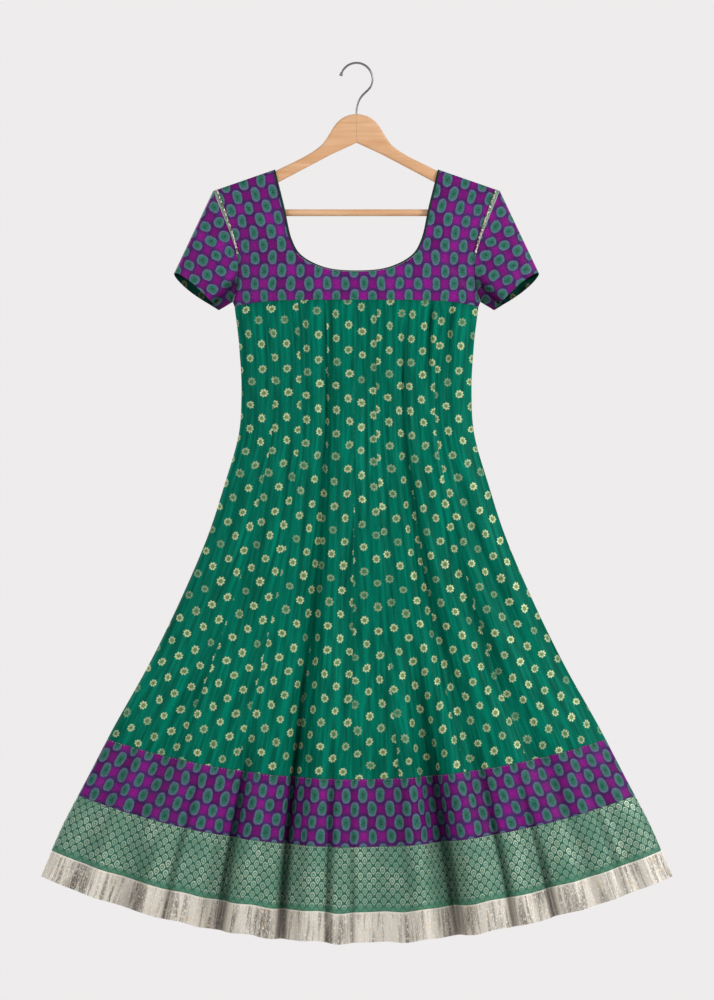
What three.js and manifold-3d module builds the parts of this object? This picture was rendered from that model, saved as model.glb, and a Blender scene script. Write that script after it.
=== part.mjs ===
// An anarkali gown hung on a wooden coat hanger.
// Millimetres, +Z up. The origin is the inside top of the hook, where a rail would hold it.
// The front of the gown faces -Y. Left and right are the wearer's, so left is +X.

import * as THREE from 'three';
import { mergeVertices } from 'three/addons/utils/BufferGeometryUtils.js';
import Module from 'manifold-3d';

// ---------------------------------------------------------------- driving dimensions

const CLOTH = 1.5; // wall of a cloth piece
const TRIM = 1; // wall of the thin strips
const SEAM = 0.3; // space left between two pieces where they are sewn

const WOOD = 12; // thickness of the hanger's arms
const WOOD_ROUND = 4; // rounding of the arms' edges
const BAR_RADIUS = 5.5;
const BAR_Z = -238;
const BAR_HALF = 171.7; // from the middle to the face of an arm's foot

const WIRE_RADIUS = 1.75;
const HOOK_RADIUS = 25.6; // to the middle of the wire
const HOOK_BALL = 3.2; // rounded end of the wire

const NECK_POINT = { half: 134, z: -170 }; // where the shoulder seam meets the neck
const SHOULDER_TIP = { half: 229, z: -203 };
const ROLL = 8.5; // how far the cloth stands off the middle plane as it turns over an arm
const YOKE_SEAM = -389; // at the side seams; the middle of the front is higher
const HEM = -1299; // at the side seams; the middle of the front is lower
const BACK_NECK_DROP = 6; // the back neck is this much deeper than the front

const CUFF_INNER = { half: 220, z: -394 };
const CUFF_OUTER = { half: 292, z: -335 };
const CUFF_DEPTH = 20; // half of the cuff's opening, front to back
const CUFF_SLANT = 0.04; // part of its length by which a sleeve is shorter in front, longer behind
const FACING_TOP = 0.8; // the cuff facing starts at this part of the sleeve's length
const FACING_SHORT = 0.004; // and stops this much before the cuff
const FACING_GAP = 0.6; // between the facing and the sleeve

const BINDING_TOP = 5; // width of the neck binding at the shoulders
const BINDING_LOW = 2; // and in the middle of the neck
const TRIM_END = 0.42; // the armhole trim stops here, 0 at the underarm and 1 at the shoulder

// Outline and fullness of the body and skirt, down the side seam. front and back are the
// greatest distances of the cloth from the middle plane. drop is how much lower the middle
// of a level line hangs than its ends at the side seams.
const SIDE = [
  { z: YOKE_SEAM, half: 195, front: 31, back: 24, drop: -11 },
  { z: -450, half: 188, front: 29, back: 22, drop: -4 },
  { z: -520, half: 183, front: 28, back: 21, drop: 2 },
  { z: -600, half: 191, front: 32, back: 23, drop: 10 },
  { z: -700, half: 219, front: 38, back: 27, drop: 20 },
  { z: -826, half: 268, front: 46, back: 32, drop: 33 },
  { z: -954, half: 328, front: 55, back: 38, drop: 46 },
  { z: -1080, half: 398, front: 64, back: 44, drop: 62 },
  { z: -1170, half: 446, front: 69, back: 48, drop: 80 },
  { z: HEM, half: 507, front: 76, back: 52, drop: 103 },
];

// Levels at the side seam where one cloth ends and the next begins, and the rows of facets in each.
const LEVELS = [
  { name: 'kali', top: YOKE_SEAM, bottom: -1080, rows: 10 },
  { name: 'purple_band', top: -1080, bottom: -1170, rows: 2 },
  { name: 'brocade_border', top: -1170, bottom: -1258, rows: 2 },
  { name: 'zari_hem', top: -1258, bottom: HEM, rows: 1 },
];

// Seams between the kalis, from the right side seam (-1) to the left one (1).
const KALI_SEAMS = [-1, -0.72, -0.48, -0.25, -0.02, 0.17, 0.43, 0.68, 1];

// Largest folds of the skirt. top and bottom are their places across it, as for the kali seams,
// at the side-seam levels from and to. wide is in the same units, deep in millimetres. One
// whose to is below the hem runs out at the hem.
const FRONT_FOLDS = [
  { top: -0.27, bottom: -0.21, from: -400, to: -2100, wide: 0.055, deep: 22 },
  { top: 0.36, bottom: 0.5, from: -420, to: -1230, wide: 0.05, deep: 14 },
  { top: 0.28, bottom: 0.34, from: -850, to: -1650, wide: 0.055, deep: 34 },
  { top: 0.11, bottom: 0.03, from: -750, to: -2000, wide: 0.07, deep: 13 },
  { top: -0.08, bottom: -0.05, from: -600, to: -1080, wide: 0.05, deep: 7 },
  { top: -0.7, bottom: -0.66, from: -660, to: -930, wide: 0.06, deep: 7 },
  { top: -0.8, bottom: -0.72, from: -880, to: -1180, wide: 0.05, deep: 9 },
  { top: -0.46, bottom: -0.44, from: -1000, to: -1700, wide: 0.05, deep: 26 },
  { top: -0.8, bottom: -0.62, from: -1060, to: -1750, wide: 0.045, deep: 20 },
  { top: 0.76, bottom: 0.88, from: -600, to: -980, wide: 0.05, deep: 9 },
  { top: 0.6, bottom: 0.75, from: -700, to: -1180, wide: 0.05, deep: 12 },
  { top: 0.6, bottom: 0.64, from: -1110, to: -1700, wide: 0.045, deep: 20 },
  { top: 0.9, bottom: 0.88, from: -1090, to: -1700, wide: 0.04, deep: 12 },
];
const BACK_FOLDS = [
  { top: -0.62, bottom: -0.55, from: -640, to: -2000, wide: 0.07, deep: 16 },
  { top: -0.33, bottom: -0.3, from: -430, to: -1500, wide: 0.07, deep: 13 },
  { top: -0.05, bottom: 0.03, from: -700, to: -2100, wide: 0.07, deep: 20 },
  { top: 0.3, bottom: 0.36, from: -430, to: -1300, wide: 0.07, deep: 11 },
  { top: 0.52, bottom: 0.6, from: -900, to: -1900, wide: 0.07, deep: 20 },
  { top: 0.84, bottom: 0.8, from: -950, to: -1800, wide: 0.06, deep: 12 },
  { top: -0.85, bottom: -0.82, from: -1000, to: -1800, wide: 0.06, deep: 12 },
];

// The front and the back are made alike, one each side of the middle plane. way is the way
// each faces along Y, and columns the strips of facets in each kali.
const FRONT = { name: 'front', way: -1, folds: FRONT_FOLDS, columns: 6, neckDrop: 0 };
const BACK = { name: 'back', way: 1, folds: BACK_FOLDS, columns: 4, neckDrop: BACK_NECK_DROP };
const FACES = [FRONT, BACK];

// The neck edge from its lowest point up to the shoulder, and the armhole seam from the
// underarm up to the shoulder.
const NECK = [
  { half: 0, z: -333 },
  { half: 54, z: -327 },
  { half: 92, z: -307 },
  { half: 107, z: -282 },
  { half: 119, z: -230 },
  NECK_POINT,
];
const ARMHOLE = [
  { half: 198, z: -381 },
  { half: 191, z: -354 },
  { half: 190, z: -312 },
  { half: 198, z: -281 },
  SHOULDER_TIP,
];

// Distance of the yoke from the middle plane: at the middle of the front or back, and at the
// armhole edge.
const YOKE_DEPTH = [
  { z: YOKE_SEAM, front: 31, back: 24, edge: 0 },
  { z: -381, front: 31, back: 24, edge: 0 },
  { z: -354, front: 29, back: 23, edge: 8 },
  { z: -300, front: 22, back: 19, edge: 12 },
  { z: -250, front: 14, back: 13, edge: 12 },
  { z: -200, front: 9, back: 9, edge: 9 },
  { z: -160, front: ROLL, back: ROLL, edge: ROLL },
];

// Rows of the yoke above the underarm: how far each is along the neck edge and along the
// armhole. The last three turn over the hanger's arm.
const YOKE_ROWS = [
  { neck: 0, arm: 0.16 },
  { neck: 0.14, arm: 0.25 },
  { neck: 0.28, arm: 0.34 },
  { neck: 0.4, arm: 0.44 },
  { neck: 0.52, arm: 0.55 },
  { neck: 0.66, arm: 0.68 },
  { neck: 0.8, arm: 0.82 },
  { neck: 0.955, arm: 0.953 },
  { neck: 0.987, arm: 0.986 },
  { neck: 1, arm: 1 },
];
const YOKE_COLUMNS = [0, 0.2, 0.4, 0.6, 0.78, 0.93, 1];
const SLEEVE_ROWS = [0, 0.25, 0.5, 0.75, 1];
const FLAT_REACH = 27; // above the underarm the yoke turns from facing the side to facing forward

const PURPLE_SILK = new THREE.MeshStandardMaterial({ color: 0x6d2172, roughness: 0.6, metalness: 0 });
const GREEN_SILK = new THREE.MeshStandardMaterial({ color: 0x03705a, roughness: 0.55, metalness: 0 });
const BROCADE = new THREE.MeshStandardMaterial({ color: 0x5f8876, roughness: 0.5, metalness: 0.2 });
const ZARI = new THREE.MeshStandardMaterial({ color: 0xb9b3aa, roughness: 0.4, metalness: 0.5 });
const BEECH = new THREE.MeshStandardMaterial({ color: 0xe9bb93, roughness: 0.5, metalness: 0 });
const CHROME = new THREE.MeshStandardMaterial({ color: 0xc8c8ca, roughness: 0.2, metalness: 1 });

// ---------------------------------------------------------------- reading the tables

// A column of a table at height z, on a smooth curve through its rows.
function along(table, z, column) {
  const last = table.length - 2;
  const step = table[0].z < table[1].z ? 1 : -1;
  const found = table.findIndex((row, i) => i <= last && (z - table[i + 1].z) * step <= 0);
  const i = found < 0 ? last : found;
  const slope = (j) => {
    const a = table[Math.max(j - 1, 0)];
    const b = table[Math.min(j + 1, last + 1)];
    return (b[column] - a[column]) / (b.z - a.z);
  };
  const run = table[i + 1].z - table[i].z;
  const t = THREE.MathUtils.clamp((z - table[i].z) / run, 0, 1);
  const rise = table[i + 1][column] - table[i][column];
  const curve = t * t * (3 - 2 * t) * rise;
  const lead = t * (1 - t) * ((1 - t) * slope(i) - t * slope(i + 1)) * run;
  return table[i][column] + curve + lead;
}

function outlineCurve(rows) {
  return new THREE.CatmullRomCurve3(rows.map((row) => new THREE.Vector3(row.half, 0, row.z)));
}

// The whole neck edge of a face, from the right shoulder to the left one.
function neckCurve(face) {
  const stretch = 1 + face.neckDrop / (NECK_POINT.z - NECK[0].z);
  const left = NECK.map(({ half, z }) => ({ half, z: NECK_POINT.z + (z - NECK_POINT.z) * stretch }));
  const right = left.slice(1).reverse().map(({ half, z }) => ({ half: -half, z }));
  return outlineCurve([...right, ...left]);
}
for (const face of FACES) face.neck = neckCurve(face);
const ARMHOLE_CURVE = outlineCurve(ARMHOLE);

// fraction 0 is the lowest point of the neck, 1 the neck point on the left shoulder.
const neckEdge = (face, fraction) => face.neck.getPointAt(0.5 + fraction / 2);
const armholeEdge = (fraction) => ARMHOLE_CURVE.getPointAt(fraction);

// ---------------------------------------------------------------- walls of cloth

// Each corner of a patch is { at, inward }: a point on the outside of the cloth, and the unit
// direction of its thickness. A patch is rows of corners, and its facets face outwards when
// its rows go down and its columns go right as seen from outside.
function wall(patches, thickness = CLOTH) {
  const index = new Map();
  const outside = [];
  const inside = [];
  const number = ({ at, inward }) => {
    const key = at.toArray().map((value) => value.toFixed(3)).join();
    if (!index.has(key)) {
      index.set(key, outside.length);
      outside.push(at);
      inside.push(at.clone().addScaledVector(inward, thickness));
    }
    return index.get(key);
  };
  const facets = [];
  for (const rows of patches) {
    for (let r = 0; r + 1 < rows.length; r += 1) {
      for (let c = 0; c + 1 < rows[r].length; c += 1) {
        const [a, b] = [rows[r][c], rows[r][c + 1]].map(number);
        const [d, e] = [rows[r + 1][c], rows[r + 1][c + 1]].map(number);
        facets.push([a, d, e], [a, e, b]);
      }
    }
  }
  const real = facets.filter(([a, b, c]) => a !== b && b !== c && c !== a);
  const edges = new Set(real.flatMap(([a, b, c]) => [`${a},${b}`, `${b},${c}`, `${c},${a}`]));
  const count = outside.length;
  const triangles = real.flatMap(([a, b, c]) => [a, b, c, c + count, b + count, a + count]);
  for (const edge of edges) {
    const [a, b] = edge.split(',').map(Number);
    if (!edges.has(`${b},${a}`)) triangles.push(b, a, a + count, b, a + count, b + count);
  }
  const geometry = new THREE.BufferGeometry();
  const places = [...outside, ...inside].flatMap((corner) => corner.toArray());
  geometry.setAttribute('position', new THREE.Float32BufferAttribute(places, 3));
  geometry.setIndex(triangles);
  return geometry;
}

const evenly = (count) => Array.from({ length: count + 1 }, (_, i) => i / count);

// The section of the body, from 1 at the middle of a face to 0 at a side seam.
const lens = (across) => Math.max(1 - across * across, 0) ** 0.6;

// ---------------------------------------------------------------- skirt

// How far the folds push the cloth in at a place on the skirt. Each fold is a trough between
// two low ridges.
function foldDepth(folds, across, z) {
  let depth = 0;
  for (const fold of folds) {
    const run = (fold.from - z) / (fold.from - fold.to);
    const middle = THREE.MathUtils.lerp(fold.top, fold.bottom, run);
    const t = (across - middle) / fold.wide;
    const trough = (1 - 0.7 * t * t) * Math.exp(-0.6 * t * t);
    if (run > 0 && run < 1) depth += fold.deep * Math.sin(Math.PI * run) * trough;
  }
  return depth * (1 - across ** 8);
}

function skirtPoint(face, across, z) {
  const depth = along(SIDE, z, face.name) * lens(across) - foldDepth(face.folds, across, z);
  const drop = along(SIDE, z, 'drop') * (1 - across * across);
  return new THREE.Vector3(along(SIDE, z, 'half') * across, face.way * (SEAM / 2 + depth), z - drop);
}

// The thickness at a side seam stays in the plane of the seam, so the front and the back meet
// in a mitre. At the yoke seam it is level, as the yoke's is.
function skirtInward(face, across, z) {
  const down = skirtPoint(face, across, z - 1).sub(skirtPoint(face, across, z + 1));
  if (z === YOKE_SEAM) down.set(0, 0, -1);
  const side = Math.abs(across) > 0.999 ? Math.sign(across) : 0;
  if (side) return new THREE.Vector3(side * down.z, 0, -side * down.x).normalize();
  const step = 0.002;
  const right = skirtPoint(face, across + step / 2, z).sub(skirtPoint(face, across - step / 2, z));
  return right.cross(down).multiplyScalar(-face.way).normalize();
}

function skirtCorner(face, across, z) {
  return { at: skirtPoint(face, across, z), inward: skirtInward(face, across, z) };
}

// Patches of the back are turned so that their facets face outwards too.
const faceOut = (face, rows) => (face.way < 0 ? rows : rows.map((row) => [...row].reverse()));

function levelHeights(level) {
  const top = level.top - SEAM / 2;
  const bottom = level.bottom + (level.bottom > HEM ? SEAM / 2 : 0);
  return evenly(level.rows).map((t) => THREE.MathUtils.lerp(top, bottom, t));
}

// Kali i is one of those between neighbouring seams, and keeps half a seam's space at each.
function kaliPiece(face, level, i) {
  const [right, left] = KALI_SEAMS.slice(i, i + 2);
  const rows = levelHeights(level).map((z) => {
    const space = SEAM / 2 / along(SIDE, z, 'half');
    const from = right + (right > -1 ? space : 0);
    const to = left - (left < 1 ? space : 0);
    return evenly(face.columns).map((t) => skirtCorner(face, THREE.MathUtils.lerp(from, to, t), z));
  });
  return wall([faceOut(face, rows)]);
}

// A band goes right across, with its corners in line with those of the kalis.
function bandPiece(face, level) {
  const columns = KALI_SEAMS.slice(1).flatMap((left, i) => (
    evenly(face.columns).slice(i ? 1 : 0).map((t) => THREE.MathUtils.lerp(KALI_SEAMS[i], left, t))));
  const rows = levelHeights(level).map((z) => columns.map((across) => skirtCorner(face, across, z)));
  return wall([faceOut(face, rows)]);
}

// ---------------------------------------------------------------- yoke

// Height of the shoulder seam at x.
function shoulderLine(x) {
  const slope = (SHOULDER_TIP.z - NECK_POINT.z) / (SHOULDER_TIP.half - NECK_POINT.half);
  return NECK_POINT.z + slope * (Math.abs(x) - NECK_POINT.half);
}

// A corner of the yoke at x, z, where edge is the half-width of the yoke on that row.
function yokeCorner(face, x, z, edge) {
  const below = Math.max(shoulderLine(x) - z, 0);
  const tilt = Math.max(1 - below / ROLL, 0); // 1 on the shoulder seam, 0 once the cloth hangs
  const upright = Math.sqrt(1 - tilt * tilt);
  const rim = along(YOKE_DEPTH, z, 'edge');
  const depth = rim + (along(YOKE_DEPTH, z, face.name) - rim) * lens(x / edge);
  const flat = THREE.MathUtils.clamp((z - ARMHOLE[0].z) / FLAT_REACH, 0, 1);
  const turned = skirtInward(face, x / edge, YOKE_SEAM);
  const inward = turned.lerp(new THREE.Vector3(0, -face.way, 0), flat).normalize();
  inward.multiplyScalar(upright).setZ(-tilt);
  return { at: new THREE.Vector3(x, face.way * (SEAM / 2 + depth * upright), z), inward };
}

// One row of the yoke's left half, from its inner to its outer end.
function yokeRow(face, inner, outer) {
  return YOKE_COLUMNS.map((t) => {
    const { x, z } = inner.clone().lerp(outer, t);
    return yokeCorner(face, x, z, outer.x);
  });
}

// Rows of the yoke's left half from the shoulder down to the waist seam.
function yokeRows(face) {
  const upper = YOKE_ROWS.map(({ neck, arm }) => yokeRow(face, neckEdge(face, neck), armholeEdge(arm)));
  const { half: seamHalf, drop } = SIDE[0];
  const seamZ = (x) => YOKE_SEAM - drop * (1 - (x / seamHalf) ** 2) + SEAM / 2;
  const neckZ = neckEdge(face, 0).z;
  const middle = new THREE.Vector3(0, 0, (neckZ + seamZ(0)) / 2);
  const lowest = YOKE_COLUMNS.map((t) => yokeCorner(face, seamHalf * t, seamZ(seamHalf * t), seamHalf));
  return [...upper.reverse(), yokeRow(face, middle, armholeEdge(0)), lowest];
}

const MIRROR = new THREE.Vector3(-1, 1, 1);

function mirrorRows(rows) {
  const mirrored = (corner) => ({
    at: corner.at.clone().multiply(MIRROR),
    inward: corner.inward.clone().multiply(MIRROR),
  });
  return rows.map((row) => row.map(mirrored).reverse());
}

function yokePiece(face) {
  const left = yokeRows(face);
  return wall([left, mirrorRows(left)].map((rows) => faceOut(face, rows)));
}

// ---------------------------------------------------------------- sleeves

const ARM_FRACTIONS = [0, ...YOKE_ROWS.map((row) => row.arm)];

// down is 0 at the armhole and 1 at the middle of the cuff's slant; round is 0 at the underarm
// and 1 at the shoulder.
function sleevePoint(face, round, down) {
  const seam = armholeEdge(round);
  const top = yokeCorner(face, seam.x, seam.z, seam.x).at;
  top.setX(top.x + SEAM).setY(round === 0 || round === 1 ? 0 : top.y);
  const cuff = new THREE.Vector3(
    THREE.MathUtils.lerp(CUFF_INNER.half, CUFF_OUTER.half, round),
    face.way * CUFF_DEPTH * Math.max(4 * round * (1 - round), 0) ** 0.6,
    THREE.MathUtils.lerp(CUFF_INNER.z, CUFF_OUTER.z, round),
  );
  return top.lerp(cuff, down);
}

// Along the shoulder and underarm folds the thickness stays in the middle plane.
function sleeveInward(face, round, down) {
  const length = sleevePoint(face, round, 1).sub(sleevePoint(face, round, 0)).setY(0).normalize();
  if (round === 0) return new THREE.Vector3(-length.z, 0, length.x);
  const seam = armholeEdge(round);
  if (down === 0) return yokeCorner(face, seam.x, seam.z, seam.x).inward;
  if (round === 1) return new THREE.Vector3(length.z, 0, -length.x);
  const step = 0.005;
  const up = sleevePoint(face, round + step, down).sub(sleevePoint(face, round - step, down));
  return up.cross(length).multiplyScalar(-face.way).normalize();
}

function sleeveCorner(face, round, down) {
  return { at: sleevePoint(face, round, down), inward: sleeveInward(face, round, down) };
}

// Where a sleeve ends: higher in front than behind, so the inside of its back shows.
const cuffEnd = (face, round) => 1 + face.way * CUFF_SLANT * Math.sin(Math.PI * round) ** 0.5;

// The two patches of a tube whose columns run from the underarm to the shoulder.
function tube(rowsOf, thickness) {
  const patches = FACES.map((face) => {
    const rows = rowsOf(face);
    return face.way < 0 ? rows : rows.map((row) => row.reverse());
  });
  return wall(patches, thickness);
}

function sleevePiece() {
  return tube((face) => SLEEVE_ROWS.map((down) => (
    ARM_FRACTIONS.map((round) => sleeveCorner(face, round, down * cuffEnd(face, round))))), CLOTH);
}

// The facing lies inside the sleeve's last stretch, on the sleeve's own facets.
function facingPiece() {
  const [before] = SLEEVE_ROWS.slice(-2);
  const inset = (face, round, part) => {
    const end = cuffEnd(face, round);
    const upper = sleeveCorner(face, round, before * end);
    const cuff = sleeveCorner(face, round, end);
    const t = (part - before) / (1 - before);
    const inward = upper.inward.lerp(cuff.inward, t).normalize();
    return { at: upper.at.lerp(cuff.at, t).addScaledVector(inward, CLOTH + FACING_GAP), inward };
  };
  const parts = evenly(2).map((t) => THREE.MathUtils.lerp(FACING_TOP, 1 - FACING_SHORT, t));
  return tube((face) => parts.map((part) => ARM_FRACTIONS.map((round) => inset(face, round, part))), TRIM);
}

// ---------------------------------------------------------------- strips

// The neck binding runs on from the yoke's neck edge into the opening, and over both arms.
const SHOULDER_WAY = new THREE.Vector3(NECK_POINT.half, 0, NECK_POINT.z)
  .sub(new THREE.Vector3(SHOULDER_TIP.half, 0, SHOULDER_TIP.z)).normalize();

// A corner of the binding beside a row of the yoke: part 0 is against the yoke, 1 the free edge.
function bindingCorner(face, row, part) {
  const tangent = face.neck.getTangentAt(0.5 + row.neck / 2);
  const turn = THREE.MathUtils.smoothstep(row.neck, 0.8, 1);
  const way = new THREE.Vector3(-tangent.z, 0, tangent.x).lerp(SHOULDER_WAY, turn).normalize();
  const widen = THREE.MathUtils.smoothstep(row.neck, 0.1, 0.6);
  const width = THREE.MathUtils.lerp(BINDING_LOW, BINDING_TOP, widen);
  const at = neckEdge(face, row.neck).addScaledVector(way, SEAM + part * width);
  const corner = yokeCorner(face, at.x, at.z, armholeEdge(row.arm).x);
  if (row.neck === 0) corner.at.setX(0);
  if (row.neck === 1) corner.at.setY(0);
  return corner;
}

function bindingPiece() {
  const patches = FACES.flatMap((face) => {
    const down = [...YOKE_ROWS].reverse();
    const left = down.map((row) => [1, 0].map((part) => bindingCorner(face, row, part)));
    return [left, mirrorRows(left)].map((rows) => faceOut(face, rows));
  });
  return wall(patches, TRIM);
}

// The armhole trim lies on the yoke's outermost column, front and back, over the shoulder. It
// narrows to a fifth of its width at its ends.
function trimPiece() {
  const lifted = (at, inward, onShoulder) => {
    const lift = at.clone().addScaledVector(inward, -SEAM - TRIM);
    return { at: onShoulder ? lift.setY(0) : lift, inward };
  };
  const patches = FACES.map((face) => {
    const count = YOKE_ROWS.filter((row) => row.arm > TRIM_END).length;
    const rows = yokeRows(face).slice(0, count).map((row, i) => {
      const [inner, outer] = row.slice(-2);
      const wide = 1 - 0.8 * (i / (count - 1));
      const innerAt = outer.at.clone().lerp(inner.at, wide);
      return [lifted(innerAt, inner.inward, i === 0), lifted(outer.at, outer.inward, i === 0)];
    });
    return faceOut(face, rows);
  });
  return wall(patches, TRIM);
}

// Copies of a left piece, mirrored, for the right side.
function mirroredGeometry(geometry) {
  const copy = geometry.clone().scale(-1, 1, 1);
  const index = copy.getIndex();
  for (let i = 0; i < index.count; i += 3) {
    const first = index.getX(i);
    index.setX(i, index.getX(i + 2));
    index.setX(i + 2, first);
  }
  return copy;
}

// ---------------------------------------------------------------- hanger

// Outline of the left arm: over the top from the middle to the shoulder, round its end, down
// to the foot that holds the bar, and back along the underside.
function armPiece() {
  const shape = new THREE.Shape();
  shape.moveTo(SEAM / 2, -80);
  shape.bezierCurveTo(40, -82, 40, -118, 60, -133);
  shape.bezierCurveTo(78, -148, 106, -159, 130, -171.5);
  shape.lineTo(214, -202);
  shape.bezierCurveTo(226, -207, 225, -222, 213, -226);
  shape.lineTo(206, -246);
  shape.quadraticCurveTo(203, -250, 198, -250);
  shape.lineTo(BAR_HALF + SEAM, -250);
  shape.lineTo(BAR_HALF + SEAM, -216);
  shape.lineTo(130, -192);
  shape.lineTo(41, -145);
  shape.lineTo(SEAM / 2, -126);
  shape.closePath();
  const geometry = new THREE.ExtrudeGeometry(shape, {
    depth: WOOD - 2 * WOOD_ROUND,
    curveSegments: 6,
    bevelSegments: 3,
    bevelSize: WOOD_ROUND,
    bevelThickness: WOOD_ROUND,
    bevelOffset: -WOOD_ROUND,
  });
  geometry.translate(0, 0, WOOD_ROUND - WOOD / 2);
  return geometry.rotateX(Math.PI / 2);
}

function barPiece() {
  return new THREE.CylinderGeometry(BAR_RADIUS, BAR_RADIUS, 2 * BAR_HALF, 20).rotateZ(Math.PI / 2);
}

// The wire rises from the wood, swings out to the left and turns over to its rounded end.
class HookLine extends THREE.Curve {
  getPoint(t) {
    const middle = new THREE.Vector3(0, 0, WIRE_RADIUS - HOOK_RADIUS);
    const onRound = (degrees) => {
      const angle = THREE.MathUtils.degToRad(degrees);
      const way = new THREE.Vector3(Math.cos(angle), 0, Math.sin(angle));
      return middle.clone().addScaledVector(way, HOOK_RADIUS);
    };
    const rise = 0.32;
    if (t >= rise) return onRound(THREE.MathUtils.mapLinear(t, rise, 1, -48, 163));
    const foot = new THREE.Vector3(0, 0, -79.5);
    const bend = new THREE.Vector3(0, 0, -59);
    const lead = onRound(-48).add(new THREE.Vector3(-9.5, 0, -8.5));
    return new THREE.CubicBezierCurve3(foot, bend, lead, onRound(-48)).getPoint(t / rise);
  }
}

const wasm = await Module();
wasm.setup();

function solid(geometry) {
  const bare = geometry.clone();
  for (const name of ['normal', 'uv']) bare.deleteAttribute(name);
  const merged = mergeVertices(bare, 1e-4);
  return new wasm.Manifold(new wasm.Mesh({
    numProp: 3,
    vertProperties: new Float32Array(merged.attributes.position.array),
    triVerts: new Uint32Array(merged.index.array),
  }));
}

function hookPiece() {
  const line = new HookLine();
  const section = new THREE.Shape().absarc(0, 0, WIRE_RADIUS, 0, 2 * Math.PI);
  const wire = new THREE.ExtrudeGeometry(section, { steps: 30, curveSegments: 8, extrudePath: line });
  const end = line.getPoint(1);
  const ball = new THREE.SphereGeometry(HOOK_BALL, 10, 6).translate(end.x, end.y, end.z);
  const joined = solid(wire).add(solid(ball)).getMesh();
  const geometry = new THREE.BufferGeometry();
  geometry.setAttribute('position', new THREE.BufferAttribute(new Float32Array(joined.vertProperties), 3));
  geometry.setIndex(new THREE.BufferAttribute(new Uint32Array(joined.triVerts), 1));
  return geometry;
}

// ---------------------------------------------------------------- the whole object

function add(group, name, geometry, material) {
  const mesh = new THREE.Mesh(geometry, material);
  mesh.name = name;
  group.add(mesh);
  return mesh;
}

function addPair(group, name, geometry, material) {
  add(group, `${name}_left`, geometry, material);
  add(group, `${name}_right`, mirroredGeometry(geometry), material);
}

function buildHanger() {
  const hanger = new THREE.Group();
  add(hanger, 'hanger_hook', hookPiece(), CHROME);
  const arm = mergeVertices(armPiece());
  addPair(hanger, 'hanger_arm', arm, BEECH);
  add(hanger, 'hanger_bar', barPiece(), BEECH).position.set(0, 0, BAR_Z);
  return hanger;
}

function buildFace(face) {
  const panels = new THREE.Group();
  const [kali, ...bands] = LEVELS;
  add(panels, `${face.name}_yoke`, yokePiece(face), PURPLE_SILK);
  for (let i = 0; i + 1 < KALI_SEAMS.length; i += 1) {
    add(panels, `${face.name}_kali_${i + 1}`, kaliPiece(face, kali, i), GREEN_SILK);
  }
  const cloths = [PURPLE_SILK, BROCADE, ZARI];
  bands.forEach((band, i) => add(panels, `${face.name}_${band.name}`, bandPiece(face, band), cloths[i]));
  return panels;
}

function buildGown() {
  const gown = new THREE.Group();
  gown.add(...FACES.map(buildFace));
  addPair(gown, 'sleeve', sleevePiece(), PURPLE_SILK);
  addPair(gown, 'cuff_facing', facingPiece(), GREEN_SILK);
  addPair(gown, 'armhole_trim', trimPiece(), ZARI);
  add(gown, 'neck_binding', bindingPiece(), GREEN_SILK);
  return gown;
}

const root = new THREE.Group();
root.add(buildHanger(), buildGown());

export default root;
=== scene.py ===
# An anarkali gown on a wooden coat hanger: its cloth, trimmings and finishes, built over the
# solid parts of the frame. The tables are in millimetres, +Z up, with the front of the gown
# facing -Y. Left and right are the wearer's, so left is +X.

import logging
import math
from dataclasses import dataclass, field
from enum import Enum
from typing import Any, Iterable, Sequence

import bmesh
import bpy
import numpy as np
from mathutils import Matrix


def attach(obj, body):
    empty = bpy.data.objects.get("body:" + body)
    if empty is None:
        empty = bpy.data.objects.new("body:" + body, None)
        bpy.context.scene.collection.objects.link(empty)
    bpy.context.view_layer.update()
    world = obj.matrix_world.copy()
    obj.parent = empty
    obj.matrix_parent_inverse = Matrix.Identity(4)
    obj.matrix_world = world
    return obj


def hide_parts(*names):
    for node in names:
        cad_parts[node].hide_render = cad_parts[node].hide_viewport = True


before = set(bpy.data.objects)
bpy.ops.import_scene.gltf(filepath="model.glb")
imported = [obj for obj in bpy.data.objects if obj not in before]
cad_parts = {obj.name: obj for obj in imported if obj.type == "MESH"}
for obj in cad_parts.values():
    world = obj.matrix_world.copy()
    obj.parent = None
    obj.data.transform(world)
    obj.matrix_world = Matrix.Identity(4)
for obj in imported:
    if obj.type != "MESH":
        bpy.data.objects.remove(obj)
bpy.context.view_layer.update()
LOG = logging.getLogger("gown")

MM = 0.001  # metres in a millimetre
SEAM = 0.3  # space between two pieces where they are sewn
CLOTH = 0.8  # thickness of the silk with its backing
STRIP = 0.6  # thickness of the narrow strips
YOKE_SEAM = -389.0
HEM = -1299.0
ROLL = 8.5  # how far the cloth stands off the middle plane as it turns over an arm of the hanger
NECK_POINT = (134.0, -170.0)
SHOULDER_TIP = (229.0, -203.0)
BACK_NECK_DROP = 6.0


class Face(Enum):
    """The front or the back of the gown."""

    FRONT = "front"
    BACK = "back"

    @property
    def way(self) -> int:
        """The way the face looks along Y."""
        return -1 if self is Face.FRONT else 1


class Side(Enum):
    """The wearer's left or right."""

    LEFT = "left"
    RIGHT = "right"


class Slot(Enum):
    """The record's material slots."""

    PURPLE_SILK = "purple_silk"
    GREEN_SILK = "green_silk"
    GREEN_BROCADE = "green_brocade"
    ZARI_TISSUE = "zari_tissue"
    BEECH = "beech"
    CHROMED_WIRE = "chromed_wire"


# ---------------------------------------------------------------- reading the gown's form


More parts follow.
